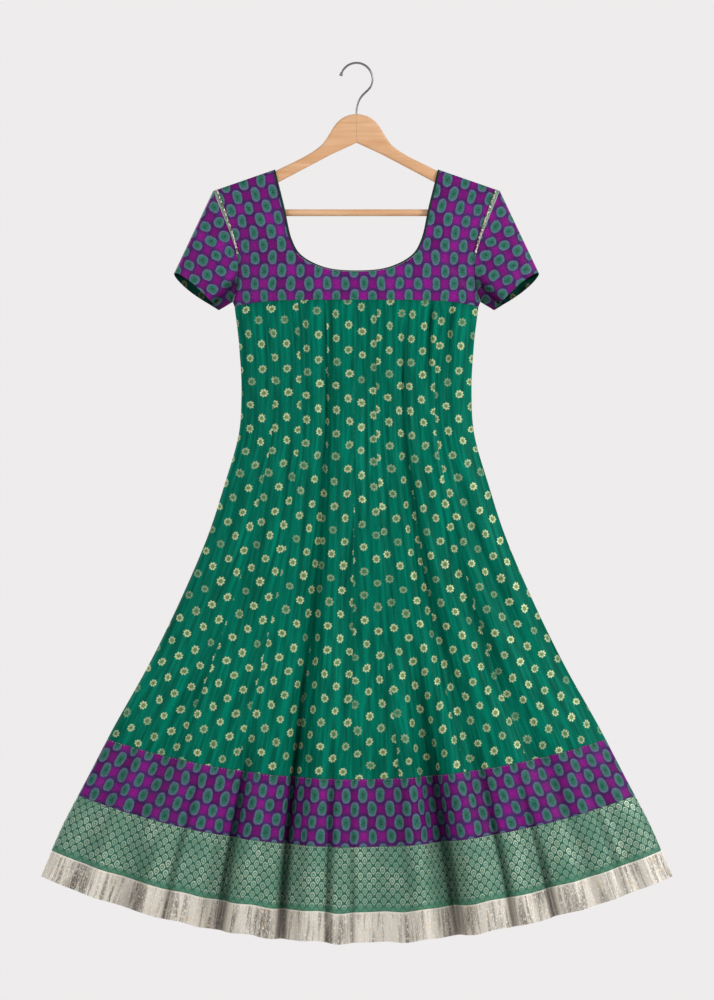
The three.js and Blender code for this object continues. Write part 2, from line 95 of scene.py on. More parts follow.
class Table:
    """Rows of named numbers down the gown, read on a smooth curve through them."""

    def __init__(self, names: str, rows: Sequence[Sequence[float]]) -> None:
        """Keep the rows in rising z.

        Args:
            names: The columns' names, z first.
            rows: One row of numbers for each height.
        """
        values = np.array(sorted(rows), dtype=float).T
        self.z = values[0]
        self.columns = dict(zip(names.split()[1:], values[1:]))

    def at(self, name: str, z: np.ndarray) -> np.ndarray:
        """Read a column.

        Args:
            name: The column.
            z: Heights.

        Returns:
            The column's value at each height.
        """
        values, last = self.columns[name], len(self.z) - 1
        before = np.maximum(np.arange(last + 1) - 1, 0)
        after = np.minimum(np.arange(last + 1) + 1, last)
        slope = (values[after] - values[before]) / (self.z[after] - self.z[before])
        i = np.clip(np.searchsorted(self.z, z) - 1, 0, last - 1)
        run = self.z[i + 1] - self.z[i]
        t = np.clip((z - self.z[i]) / run, 0, 1)
        lead = t * (1 - t) * ((1 - t) * slope[i] - t * slope[i + 1]) * run
        return values[i] + t * t * (3 - 2 * t) * (values[i + 1] - values[i]) + lead


class Outline:
    """A smooth line through points in the plane of x and z, read by the share of its length."""

    STEPS = 160

    def __init__(self, points: Sequence[Sequence[float]]) -> None:
        """Trace the line.

        Args:
            points: The (x, z) points that it runs through.
        """
        p = np.array(points, dtype=float)
        p = np.vstack([2 * p[0] - p[1], p, 2 * p[-1] - p[-2]])
        t = np.linspace(0, 1, self.STEPS, endpoint=False)[:, None]
        traced = []
        for a, b, c, d in zip(p, p[1:], p[2:], p[3:]):
            ab, bc, cd = (np.hypot(*(n - m)) ** 0.5 for m, n in ((a, b), (b, c), (c, d)))
            leave = ((b - a) / ab - (c - a) / (ab + bc) + (c - b) / bc) * bc
            arrive = ((c - b) / bc - (d - b) / (bc + cd) + (d - c) / cd) * bc
            curve = b + leave * t + (3 * (c - b) - 2 * leave - arrive) * t**2
            traced.append(curve + (2 * (b - c) + leave + arrive) * t**3)
        self.points = np.vstack([*traced, p[-2:-1]])
        steps = np.hypot(*np.diff(self.points, axis=0).T)
        self.share = np.concatenate([[0], np.cumsum(steps)]) / steps.sum()

    def at(self, share: np.ndarray) -> np.ndarray:
        """The (x, z) points at shares of the line's length, from 0 to 1."""
        return np.stack([np.interp(share, self.share, axis) for axis in self.points.T], axis=-1)


# Outline and fullness of the body and skirt, down the side seam. front and back are the
# greatest distances from the middle plane. drop is how much lower the middle of a level
# line hangs than its ends.
SIDE = Table("z half front back drop", [
    (-389, 195, 31, 24, -11), (-450, 188, 29, 22, -4), (-520, 183, 28, 21, 2),
    (-600, 191, 32, 23, 10), (-700, 219, 38, 27, 20), (-826, 268, 46, 32, 33),
    (-954, 328, 55, 38, 46), (-1080, 398, 64, 44, 62), (-1170, 446, 69, 48, 80),
    (-1299, 507, 76, 52, 103),
])
# Distance of the yoke from the middle plane, in the middle of a face and at the armhole.
YOKE_DEPTH = Table("z front back edge", [
    (-389, 31, 24, 0), (-381, 31, 24, 0), (-354, 29, 23, 8), (-300, 22, 19, 12),
    (-250, 14, 13, 12), (-200, 9, 9, 9), (-160, 8.5, 8.5, 8.5),
])
NECK = [(0, -333), (54, -327), (92, -307), (107, -282), (119, -230), NECK_POINT]
ARMHOLE = Outline([(198, -381), (191, -354), (190, -312), (198, -281), SHOULDER_TIP])


def neck_outline(drop: float) -> Outline:
    """The neck edge from the right shoulder to the left one, drop lower in its middle."""
    stretch = 1 + drop / (NECK_POINT[1] - NECK[0][1])
    left = [(x, NECK_POINT[1] + (z - NECK_POINT[1]) * stretch) for x, z in NECK]
    return Outline([(-x, z) for x, z in reversed(left[1:])] + left)


NECKS = {Face.FRONT: neck_outline(0), Face.BACK: neck_outline(BACK_NECK_DROP)}


def lens(across: np.ndarray) -> np.ndarray:
    """The section of the body: 1 in the middle of a face and 0 at a side seam."""
    return np.maximum(1 - across**2, 0) ** 0.6


def level_bend(z: Any) -> Any:
    """The power by which a level line turns down to its ends: late at the yoke seam."""
    return 5 - 3 * smoothstep(YOKE_SEAM - z, 0, 60)


def lerp(a: Any, b: Any, t: Any) -> Any:
    """The value a share t of the way from a to b."""
    return a + (b - a) * t


def smoothstep(value: Any, low: float, high: float) -> Any:
    """0 below low, 1 above high, and a soft rise between."""
    t = np.clip((value - low) / (high - low), 0, 1)
    return t * t * (3 - 2 * t)


@dataclass(frozen=True)
class Fold:
    """A soft trough between two low ridges, running down a face of the skirt.

    top and bottom are its places across the face, from -1 to 1, at the side-seam heights
    start and end. wide is in the same units and deep in millimetres. peak is how far down its
    run it is deepest.
    """

    top: float
    bottom: float
    start: float
    end: float
    wide: float
    deep: float
    peak: float = 0.5

    def depth(self, across: np.ndarray, z: np.ndarray) -> np.ndarray:
        """How far it pushes the cloth in, in millimetres."""
        run = np.clip((self.start - z) / (self.start - self.end), 0, 1)
        swell = np.sin(np.pi * run ** (math.log(0.5) / math.log(self.peak)))
        t = (across - lerp(self.top, self.bottom, run)) / self.wide
        return self.deep * swell * (1 - 0.7 * t * t) * np.exp(-0.6 * t * t)


# The folds that the solid parts have too.
FOLDS = {
    Face.FRONT: [
        Fold(-0.27, -0.21, -400, -2100, 0.055, 22), Fold(0.36, 0.5, -420, -1230, 0.05, 14),
        Fold(0.28, 0.34, -850, -1650, 0.055, 34), Fold(0.11, 0.03, -750, -2000, 0.07, 13),
        Fold(-0.08, -0.05, -600, -1080, 0.05, 7), Fold(-0.7, -0.66, -660, -930, 0.06, 7),
        Fold(-0.8, -0.72, -880, -1180, 0.05, 9), Fold(-0.46, -0.44, -1000, -1700, 0.05, 26),
        Fold(-0.8, -0.62, -1060, -1750, 0.045, 20), Fold(0.76, 0.88, -600, -980, 0.05, 9),
        Fold(0.6, 0.75, -700, -1180, 0.05, 12), Fold(0.6, 0.64, -1110, -1700, 0.045, 20),
        Fold(0.9, 0.88, -1090, -1700, 0.04, 12),
    ],
    Face.BACK: [
        Fold(-0.62, -0.55, -640, -2000, 0.07, 16), Fold(-0.33, -0.3, -430, -1500, 0.07, 13),
        Fold(-0.05, 0.03, -700, -2100, 0.07, 20), Fold(0.3, 0.36, -430, -1300, 0.07, 11),
        Fold(0.52, 0.6, -900, -1900, 0.07, 20), Fold(0.84, 0.8, -950, -1800, 0.06, 12),
        Fold(-0.85, -0.82, -1000, -1800, 0.06, 12),
    ],
}
# Finer ones: gathers let out of the yoke seam, then creases lower in the skirt.
CREASES = {
    Face.FRONT: [
        Fold(-0.78, -0.8, -389, -520, 0.022, 3, 0.25), Fold(-0.58, -0.6, -389, -480, 0.02, 2.4, 0.25),
        Fold(-0.43, -0.44, -389, -560, 0.02, 3, 0.25), Fold(-0.22, -0.25, -389, -620, 0.025, 3.2, 0.2),
        Fold(0.15, 0.14, -389, -560, 0.02, 2.6, 0.25), Fold(0.41, 0.43, -389, -600, 0.022, 3.4, 0.2),
        Fold(0.61, 0.63, -389, -580, 0.024, 7, 0.2), Fold(0.78, 0.8, -389, -560, 0.024, 7, 0.2),
        Fold(0.0, 0.01, -389, -500, 0.018, 2, 0.3), Fold(0.29, 0.3, -389, -520, 0.018, 2, 0.3),
        Fold(-0.6, -0.52, -480, -800, 0.03, 3), Fold(-0.4, -0.36, -560, -900, 0.03, 4),
        Fold(-0.17, -0.15, -520, -900, 0.025, 3), Fold(0.06, 0.08, -470, -760, 0.025, 3),
        Fold(0.22, 0.2, -560, -940, 0.03, 4), Fold(0.5, 0.56, -500, -860, 0.03, 4),
        Fold(0.68, 0.7, -470, -760, 0.03, 3), Fold(-0.88, -0.86, -520, -840, 0.03, 3),
        Fold(-0.55, -0.53, -820, -1200, 0.03, 4), Fold(-0.34, -0.32, -900, -1500, 0.03, 6),
        Fold(-0.1, -0.12, -980, -1600, 0.03, 7), Fold(0.16, 0.17, -1000, -1500, 0.03, 6),
        Fold(0.47, 0.52, -1020, -1600, 0.03, 8), Fold(0.76, 0.76, -1000, -1700, 0.03, 9),
        Fold(-0.9, -0.88, -980, -1600, 0.03, 8), Fold(-0.7, -0.74, -1120, -1600, 0.025, 8),
        Fold(-0.455, -0.41, -960, -1560, 0.014, 10), Fold(-0.262, -0.225, -880, -1560, 0.015, 13),
        Fold(-0.1, -0.085, -1020, -1500, 0.012, 7), Fold(-0.02, -0.01, -1050, -1500, 0.012, 6),
        Fold(0.31, 0.335, -960, -1560, 0.014, 9), Fold(0.5, 0.5, -1040, -1500, 0.012, 7),
        Fold(0.63, 0.625, -1060, -1560, 0.013, 8), Fold(0.86, 0.84, -1080, -1560, 0.012, 6),
        Fold(-0.62, -0.6, -1060, -1500, 0.012, 7), Fold(-0.27, -0.25, -389, -700, 0.014, 4, 0.3),
        Fold(0.38, 0.42, -389, -640, 0.014, 4, 0.3),
    ],
    Face.BACK: [
        Fold(-0.7, -0.72, -389, -560, 0.025, 3.4, 0.2), Fold(-0.48, -0.5, -389, -520, 0.022, 2.6, 0.25),
        Fold(-0.2, -0.22, -389, -600, 0.024, 3, 0.2), Fold(0.08, 0.1, -389, -540, 0.02, 2.6, 0.25),
        Fold(0.44, 0.46, -389, -580, 0.024, 3.4, 0.2), Fold(0.72, 0.75, -389, -540, 0.024, 4, 0.2),
        Fold(-0.75, -0.7, -560, -960, 0.035, 4), Fold(-0.44, -0.4, -600, -1000, 0.035, 4),
        Fold(0.16, 0.18, -640, -1040, 0.03, 4), Fold(0.66, 0.68, -560, -900, 0.035, 4),
        Fold(-0.17, -0.16, -960, -1500, 0.03, 7), Fold(0.22, 0.2, -1000, -1600, 0.03, 8),
        Fold(0.42, 0.46, -1020, -1600, 0.03, 7), Fold(0.7, 0.72, -1060, -1650, 0.03, 9),
        Fold(-0.42, -0.44, -1000, -1600, 0.03, 8), Fold(-0.7, -0.68, -1040, -1600, 0.03, 8),
        Fold(-0.56, -0.53, -980, -1560, 0.015, 10), Fold(-0.06, -0.03, -940, -1560, 0.015, 11),
        Fold(0.33, 0.35, -1040, -1500, 0.013, 8), Fold(0.58, 0.6, -1020, -1560, 0.014, 9),
        Fold(-0.3, -0.28, -1060, -1500, 0.012, 7), Fold(0.84, 0.82, -1080, -1560, 0.013, 7),
    ],
}


def ripple(across: np.ndarray, z: np.ndarray, seed: int, size: float) -> np.ndarray:
    """Faint uneven waves in hanging silk.

    Args:
        across: Places across, from -1 to 1.
        z: Heights.
        seed: Fixes the waves.
        size: Their height in millimetres.

    Returns:
        How far they push the cloth, in millimetres.
    """
    random = np.random.default_rng(seed)
    total = np.zeros(np.broadcast(across, z).shape)
    for waves in (9, 14, 23, 37):
        lean, phase, slow = random.uniform((-0.004, 0, 0.004), (0.004, 6.28, 0.012))
        wander = 0.8 * np.sin(z * slow + phase)
        total += np.sin(across * waves + z * lean + phase + wander) * 9 / waves
    return total * size


# ---------------------------------------------------------------- sewing pieces of cloth


@dataclass
class Patch:
    """A grid of points on the outside of the cloth, and where each lay on the flat cloth.

    Both are in millimetres. Rows go down, and columns go right as seen from outside, or left
    where turned is set. fold_shade is the painted shade at each point, from 0 to 1, laid mostly in the troughs of
    folds.
    """

    points: np.ndarray
    cloth: np.ndarray
    turned: bool = False
    fold_shade: Any = 0.0

    def mirrored(self) -> "Patch":
        """The patch for the other side of the gown."""
        return Patch(self.points * (-1, 1, 1), self.cloth * (-1, 1), not self.turned, self.fold_shade)


def lengths(points: np.ndarray, axis: int) -> np.ndarray:
    """The length of the cloth up to each point, along the rows (1) or down the columns (0)."""
    steps = np.linalg.norm(np.diff(points, axis=axis), axis=-1)
    pad = [(0, 0), (0, 0)]
    pad[axis] = (1, 0)
    return np.cumsum(np.pad(steps, pad), axis=axis)


def flattened(points: np.ndarray) -> np.ndarray:
    """Lay a panel flat about its middle column, which becomes its straight grain.

    Args:
        points: The panel's grid.

    Returns:
        The place of each point on the flat cloth, x from the middle and y down from the top.
    """
    middle = points.shape[1] // 2
    along = lengths(points, 1)
    along -= along[:, middle:middle + 1]
    down = lengths(points, 0)[:, middle:middle + 1]
    across_way = points[:, -1] - points[:, 0]
    down_way = np.gradient(points[:, middle], axis=0)
    norms = np.linalg.norm(across_way, axis=1) * np.linalg.norm(down_way, axis=1)
    lean = ((across_way * down_way).sum(axis=1) / norms)[:, None]
    return np.stack([along * np.sqrt(1 - lean**2), -down - along * lean], axis=-1)


def unrolled(points: np.ndarray, column: int) -> np.ndarray:
    """Unroll a grid to both sides of one column, as it is seen from the front.

    Args:
        points: The grid.
        column: The column that keeps its place.

    Returns:
        The flat place of each point: every row keeps its length and its slope.
    """
    steps = np.diff(points, axis=1)
    long = np.linalg.norm(steps, axis=-1)
    seen = np.hypot(steps[..., 0], steps[..., 2])
    ways = steps[..., (0, 2)] / np.maximum(seen, 1e-6)[..., None] * long[..., None]
    run = np.concatenate([np.zeros_like(ways[:, :1]), np.cumsum(ways, axis=1)], axis=1)
    return points[:, column:column + 1, (0, 2)] + run - run[:, column:column + 1]


def new_object(name: str, mesh: bpy.types.Mesh) -> bpy.types.Object:
    """An object in the scene that holds the mesh."""
    piece = bpy.data.objects.new(name, mesh)
    bpy.context.scene.collection.objects.link(piece)
    return piece


def applied(piece: bpy.types.Object) -> bpy.types.Object:
    """Turn a piece's modifiers into plain mesh."""
    depsgraph = bpy.context.evaluated_depsgraph_get()
    mesh = bpy.data.meshes.new_from_object(piece.evaluated_get(depsgraph), depsgraph=depsgraph)
    piece.modifiers.clear()
    old, piece.data = piece.data, mesh
    bpy.data.meshes.remove(old)
    mesh.name = piece.name
    return piece


def smoothed(piece: bpy.types.Object, angle: float = 50) -> bpy.types.Object:
    """Shade a piece smooth, with edges sharper than angle, in degrees, kept crisp."""
    piece.data.shade_smooth()
    piece.data.set_sharp_from_angle(angle=math.radians(angle))
    return piece


def cloth_piece(name: str, patches: Sequence[Patch], thick: float, weld: bool = False) -> bpy.types.Object:
    """Sew patches into one piece of cloth.

    Args:
        name: The piece's name.
        patches: Its grids.
        thick: The thickness of the cloth, in millimetres, to the inside of the grids.
        weld: Whether the patches are joined where they touch.

    Returns:
        The piece, with the flat cloth as its UV map in metres.
    """
    places, flat, quads, fold_shades = [], [], [], []
    for patch in patches:
        rows, columns = patch.points.shape[:2]
        index = np.arange(rows * columns).reshape(rows, columns) + sum(map(len, places))
        a, b, d, e = index[:-1, :-1], index[:-1, 1:], index[1:, :-1], index[1:, 1:]
        order = (a, b, e, d) if patch.turned else (a, d, e, b)
        quads.append(np.stack(order, axis=-1).reshape(-1, 4))
        places.append(patch.points.reshape(-1, 3) * MM)
        flat.append(patch.cloth.reshape(-1, 2) * MM)
        fold_shades.append(np.broadcast_to(patch.fold_shade, (rows, columns)).ravel())
    corners = np.vstack(quads)
    mesh = bpy.data.meshes.new(name)
    mesh.from_pydata(np.vstack(places).tolist(), [], corners.tolist())
    mesh.uv_layers.new(name="cloth").data.foreach_set("uv", np.vstack(flat)[corners.ravel()].ravel())
    # The painted shade of each point, which the finishes darken their colour by.
    shade = mesh.attributes.new("fold_shade", "FLOAT", "POINT")
    shade.data.foreach_set("value", np.concatenate(fold_shades).astype(np.float32))
    if weld:
        work = bmesh.new()
        work.from_mesh(mesh)
        bmesh.ops.remove_doubles(work, verts=work.verts, dist=0.01 * MM)
        work.to_mesh(mesh)
        work.free()
    piece = new_object(name, mesh)
    wall = piece.modifiers.new("wall", "SOLIDIFY")
    wall.thickness = thick * MM
    wall.offset = -1
    return smoothed(applied(piece))


def flat_cut(patches: Sequence[Patch]) -> tuple[tuple[float, float], float]:
    """Measure the flat cloth of some patches.

    Args:
        patches: The grids of one piece.

    Returns:
        The width and length of the cut, and its area, in metres.
    """
    places = np.vstack([patch.cloth.reshape(-1, 2) for patch in patches])
    width, length = (places.max(axis=0) - places.min(axis=0)) * MM
    area = 0.0
    for patch in patches:
        p = patch.cloth * MM
        one, two = p[1:, 1:] - p[:-1, :-1], p[1:, :-1] - p[:-1, 1:]
        area += float(np.abs(one[..., 0] * two[..., 1] - one[..., 1] * two[..., 0]).sum() / 2)
    return (round(float(width), 3), round(float(length), 3)), min(area, float(width * length))


# ---------------------------------------------------------------- node trees


class Wiring:
    """Adds nodes to a tree."""

    def __init__(self, tree: bpy.types.NodeTree) -> None:
        """Start on an empty tree."""
        self.tree = tree
        tree.nodes.clear()

    def add(self, kind: str, inputs: Any = (), out: Any = 0, stops: Any = (), **settings: Any) -> Any:
        """Add a node with its settings and links.

        Args:
            kind: The node's type.
            inputs: Values or sockets for its inputs, in their order or by name or number.
            out: The output that is wanted.
            stops: A colour ramp's places and colours.
            settings: The node's own settings.

        Returns:
            The wanted output, or the node where it has none.
        """
        node = self.tree.nodes.new(kind)
        for name, value in settings.items():
            setattr(node, name, value)
        for i, (place, colour) in enumerate(stops):
            steps = node.color_ramp.elements
            step = steps[i] if i < min(2, len(steps)) else steps.new(place)
            step.position, step.color = place, colour
        pairs = inputs.items() if isinstance(inputs, dict) else enumerate(inputs)
        for key, value in pairs:
            if isinstance(value, bpy.types.NodeSocket):
                self.tree.links.new(value, node.inputs[key])
            elif value is not None:
                node.inputs[key].default_value = value
        return node.outputs[out] if node.outputs else node


def hex_colour(code: str) -> tuple[float, float, float, float]:
    """The linear colour of an sRGB hex code such as 03705a."""
    parts = (int(code[i:i + 2], 16) / 255 for i in (0, 2, 4))
    return (*((c / 12.92 if c <= 0.04045 else ((c + 0.055) / 1.055) ** 2.4) for c in parts), 1.0)


def ramp_stops(*pairs: tuple[float, str]) -> list[tuple[float, tuple[float, float, float, float]]]:
    """Places and hex codes as the stops of a colour ramp."""
    return [(place, hex_colour(code)) for place, code in pairs]


@dataclass(frozen=True)
class Finish:
    """A surface finish: one material, dressed on pieces of one of the record's slots."""

    name: str
    slot: Slot

    def material(self) -> bpy.types.Material:
        """The finish's material, built the first time it is asked for."""
        found = bpy.data.materials.get(self.name)
        if found is None:
            found = bpy.data.materials.new(self.name)
            found.use_nodes = True
            self.build(Wiring(found.node_tree))
        return found

    def build(self, wiring: Wiring) -> None:
        """Add the finish's nodes."""
        raise NotImplementedError

    def flat_place(self, wiring: Wiring) -> Any:
        """The place on the flat cloth, in millimetres."""
        uv = wiring.add("ShaderNodeUVMap", uv_map="cloth")
        return wiring.add("ShaderNodeVectorMath", (uv, (1 / MM,) * 3), operation="MULTIPLY")

    def repeat(self, wiring: Wiring, place: Any, pitch: tuple[float, float],
               shift: tuple[float, float] = (0, 0)) -> tuple[Any, Any]:
        """A centred repeat: motifs at the corners and in the middle of each pitch.

        Args:
            wiring: The tree.
            place: The place on the flat cloth, in millimetres.
            pitch: The repeat's width and height, in millimetres.
            shift: Moves it, in parts of the pitch.

        Returns:
            The place from the middle of the nearest motif, in millimetres, and the motif's own
            number, as vectors.
        """
        size = (*pitch, 1.0)
        local, number = [], []
        for half in (0.0, 0.5):
            offset = (shift[0] + half + 0.5, shift[1] + half + 0.5, 0)
            scaled = wiring.add(
                "ShaderNodeVectorMath", (place, tuple(1 / s for s in size), offset), operation="MULTIPLY_ADD")
            part = wiring.add("ShaderNodeVectorMath", (scaled,), operation="FRACTION")
            centred = wiring.add("ShaderNodeVectorMath", (part, (0.5, 0.5, 0)), operation="SUBTRACT")
            local.append(wiring.add("ShaderNodeVectorMath", (centred, (*pitch, 0)), operation="MULTIPLY"))
            whole = wiring.add("ShaderNodeVectorMath", (scaled,), operation="FLOOR")
            number.append(wiring.add("ShaderNodeVectorMath", (whole, (half,) * 3), operation="ADD"))
        far = [wiring.add("ShaderNodeVectorMath", (v,), out="Value", operation="LENGTH") for v in local]
        second = wiring.add("ShaderNodeMath", far, operation="GREATER_THAN")
        chosen = [wiring.add("ShaderNodeMix", {0: second, 4: a, 5: b}, out=1, data_type="VECTOR")
                  for a, b in (local, number)]
        return chosen[0], chosen[1]

    def in_folds(self, wiring: Wiring, colour: Any, least: float = 0.4) -> Any:
        """Darken a colour with painted shade in the troughs of folds, where little light comes.

        Args:
            wiring: The tree.
            colour: The colour, as a socket.
            least: The share of it that is left in the deepest fold.

        Returns:
            The colour, as a socket.
        """
        fold_shade = wiring.add("ShaderNodeAttribute", out="Fac", attribute_name="fold_shade")
        shade = wiring.add("ShaderNodeMapRange", (fold_shade, 0, 1, 1, least))
        return wiring.add("ShaderNodeMix", {0: 1.0, 6: colour, 7: shade}, out=2, data_type="RGBA",
                          blend_type="MULTIPLY")

    def surface(self, wiring: Wiring, colour: Any, height: Any, depth: float, **constants: Any) -> None:
        """End the tree in the cloth's or wood's surface.

        Args:
            wiring: The tree.
            colour: The base colour, as a socket.
            height: The relief, from 0 to 1, as a socket.
            depth: The relief's depth, in millimetres.
            constants: Values or sockets for the shader's inputs, by name with _ for spaces.
        """
        inputs = {name.replace("_", " "): value for name, value in constants.items()}
        bump = wiring.add("ShaderNodeBump", {"Strength": 1.0, "Distance": depth * MM, "Height": height})
        shader = wiring.add("ShaderNodeBsdfPrincipled", {"Base Color": colour, "Normal": bump, **inputs})
        wiring.add("ShaderNodeOutputMaterial", (shader,))


@dataclass(frozen=True)
class FiguredSilk(Finish):
    """Jacquard silk, purple with ovals woven in teal between blocks of magenta.

    It gives the eye a soft low sheen, and threads that blur the edges of each figure.
    """

    pitch: tuple[float, float] = (29.0, 41.0)  # of the repeat, two blocks wide and two tall
    oval: tuple[float, float] = (7.5, 11.7)  # half its width and height
    block: tuple[float, float] = (6.6, 7.8)
    shade: float = 1.0
    thread: float = 1.4  # mm, coarser than the silk's, so that it shows

    def build(self, wiring: Wiring) -> None:
        """Add the finish's nodes."""
        add = wiring.add
        place = self.flat_place(wiring)
        fray = add("ShaderNodeTexNoise", {"Vector": place, "Scale": 0.8, "Detail": 1.5}, out=1)
        fray = add("ShaderNodeVectorMath", (fray, (1.9, 2.8, 0), (-0.95, -1.4, 0)), operation="MULTIPLY_ADD")
        wander = add("ShaderNodeTexNoise", {"Vector": place, "Scale": 0.035, "Detail": 2.0}, out=1)
        wander = add("ShaderNodeVectorMath", (wander, (7, 7, 0), fray), operation="MULTIPLY_ADD")
        frayed = add("ShaderNodeVectorMath", (place, wander), operation="ADD")
        local, number = self.repeat(wiring, frayed, self.pitch)
        luck = add("ShaderNodeTexWhiteNoise", (number,), noise_dimensions="3D")
        across = add("ShaderNodeVectorMath", (local, (*self.oval, 1)), operation="DIVIDE")
        across = add("ShaderNodeVectorMath", (across,), operation="ABSOLUTE")
        halves = add("ShaderNodeSeparateXYZ", (across,)).node
        raised = [add("ShaderNodeMath", (halves.outputs[i], 2.4), operation="POWER") for i in (0, 1)]
        ring = add("ShaderNodeMath", raised, operation="ADD")
        ring = add("ShaderNodeMath", (ring, 1 / 2.4), operation="POWER")
        size = add("ShaderNodeMapRange", (luck, 0, 1, 0.95, 1.12))
        ring = add("ShaderNodeMath", (ring, size), operation="MULTIPLY")
        speck = add("ShaderNodeTexNoise", {"Vector": place, "Scale": 0.42, "Detail": 3.0})
        mottled = add("ShaderNodeMapRange", (speck, 0.3, 0.7, -0.3, 0.3))
        mottled = add("ShaderNodeMath", (ring, mottled), operation="ADD")
        core = add("ShaderNodeValToRGB", (mottled,), stops=ramp_stops(
            (0.0, "1f5346"), (0.3, "2e6b5b"), (0.6, "3b7969"), (0.9, "42706a")))
        rim = add("ShaderNodeValToRGB", (ring,), stops=ramp_stops(
            (0.68, "44706b"), (0.8, "667890"), (0.92, "645e88"), (1.0, "4d366c")))
        edge = add("ShaderNodeMapRange", (ring, 0.66, 0.8, 0, 1))
        figure = add("ShaderNodeMix", {0: edge, 6: core, 7: rim}, out=2, data_type="RGBA")
        blocks, block_number = self.repeat(wiring, frayed, self.pitch, (0.5, 0))
        square = add("ShaderNodeVectorMath", (blocks, (*self.block, 1)), operation="DIVIDE")
        square = add("ShaderNodeVectorMath", (square,), operation="ABSOLUTE")
        sides = add("ShaderNodeSeparateXYZ", (square,)).node
        reach = add("ShaderNodeMath", (sides.outputs[0], sides.outputs[1], 0.5), operation="SMOOTH_MAX")
        rough = add("ShaderNodeMapRange", (speck, 0.3, 0.7, -0.2, 0.15))
        reach = add("ShaderNodeMath", (reach, rough), operation="ADD")
        ground = add("ShaderNodeValToRGB", (reach,), stops=ramp_stops(
            (0.1, "8c1787"), (0.72, "80197d"), (0.92, "64206f"), (1.0, "4b2a66")))
        shine = add("ShaderNodeTexWhiteNoise", (block_number,), noise_dimensions="3D")
        shine = add("ShaderNodeMapRange", (shine, 0, 1, 0.65, 1.15))
        ground = add("ShaderNodeMix", {0: 1.0, 6: ground, 7: shine}, out=2, data_type="RGBA", blend_type="MULTIPLY")
        inside = add("ShaderNodeMapRange", (ring, 0.97, 1.08, 1, 0))
        colour = add("ShaderNodeMix", {0: inside, 6: ground, 7: figure}, out=2, data_type="RGBA")
        weft = add("ShaderNodeVectorMath", (place, (0.3, 1.0, 0)), operation="MULTIPLY")
        weft = add("ShaderNodeTexNoise", {"Vector": weft, "Scale": 1 / self.thread, "Detail": 2.0})
        grade = add("ShaderNodeMapRange", (weft, 0.25, 0.75, 0.65 * self.shade, 1.35 * self.shade))
        colour = add("ShaderNodeMix", {0: 1.0, 6: colour, 7: grade}, out=2, data_type="RGBA", blend_type="MULTIPLY")
        relief = add("ShaderNodeMath", (inside, 0.5, weft), operation="MULTIPLY_ADD")
        colour = self.in_folds(wiring, colour)
        self.surface(wiring, colour, relief, 0.25, Roughness=0.5, Specular_IOR_Level=0.08)


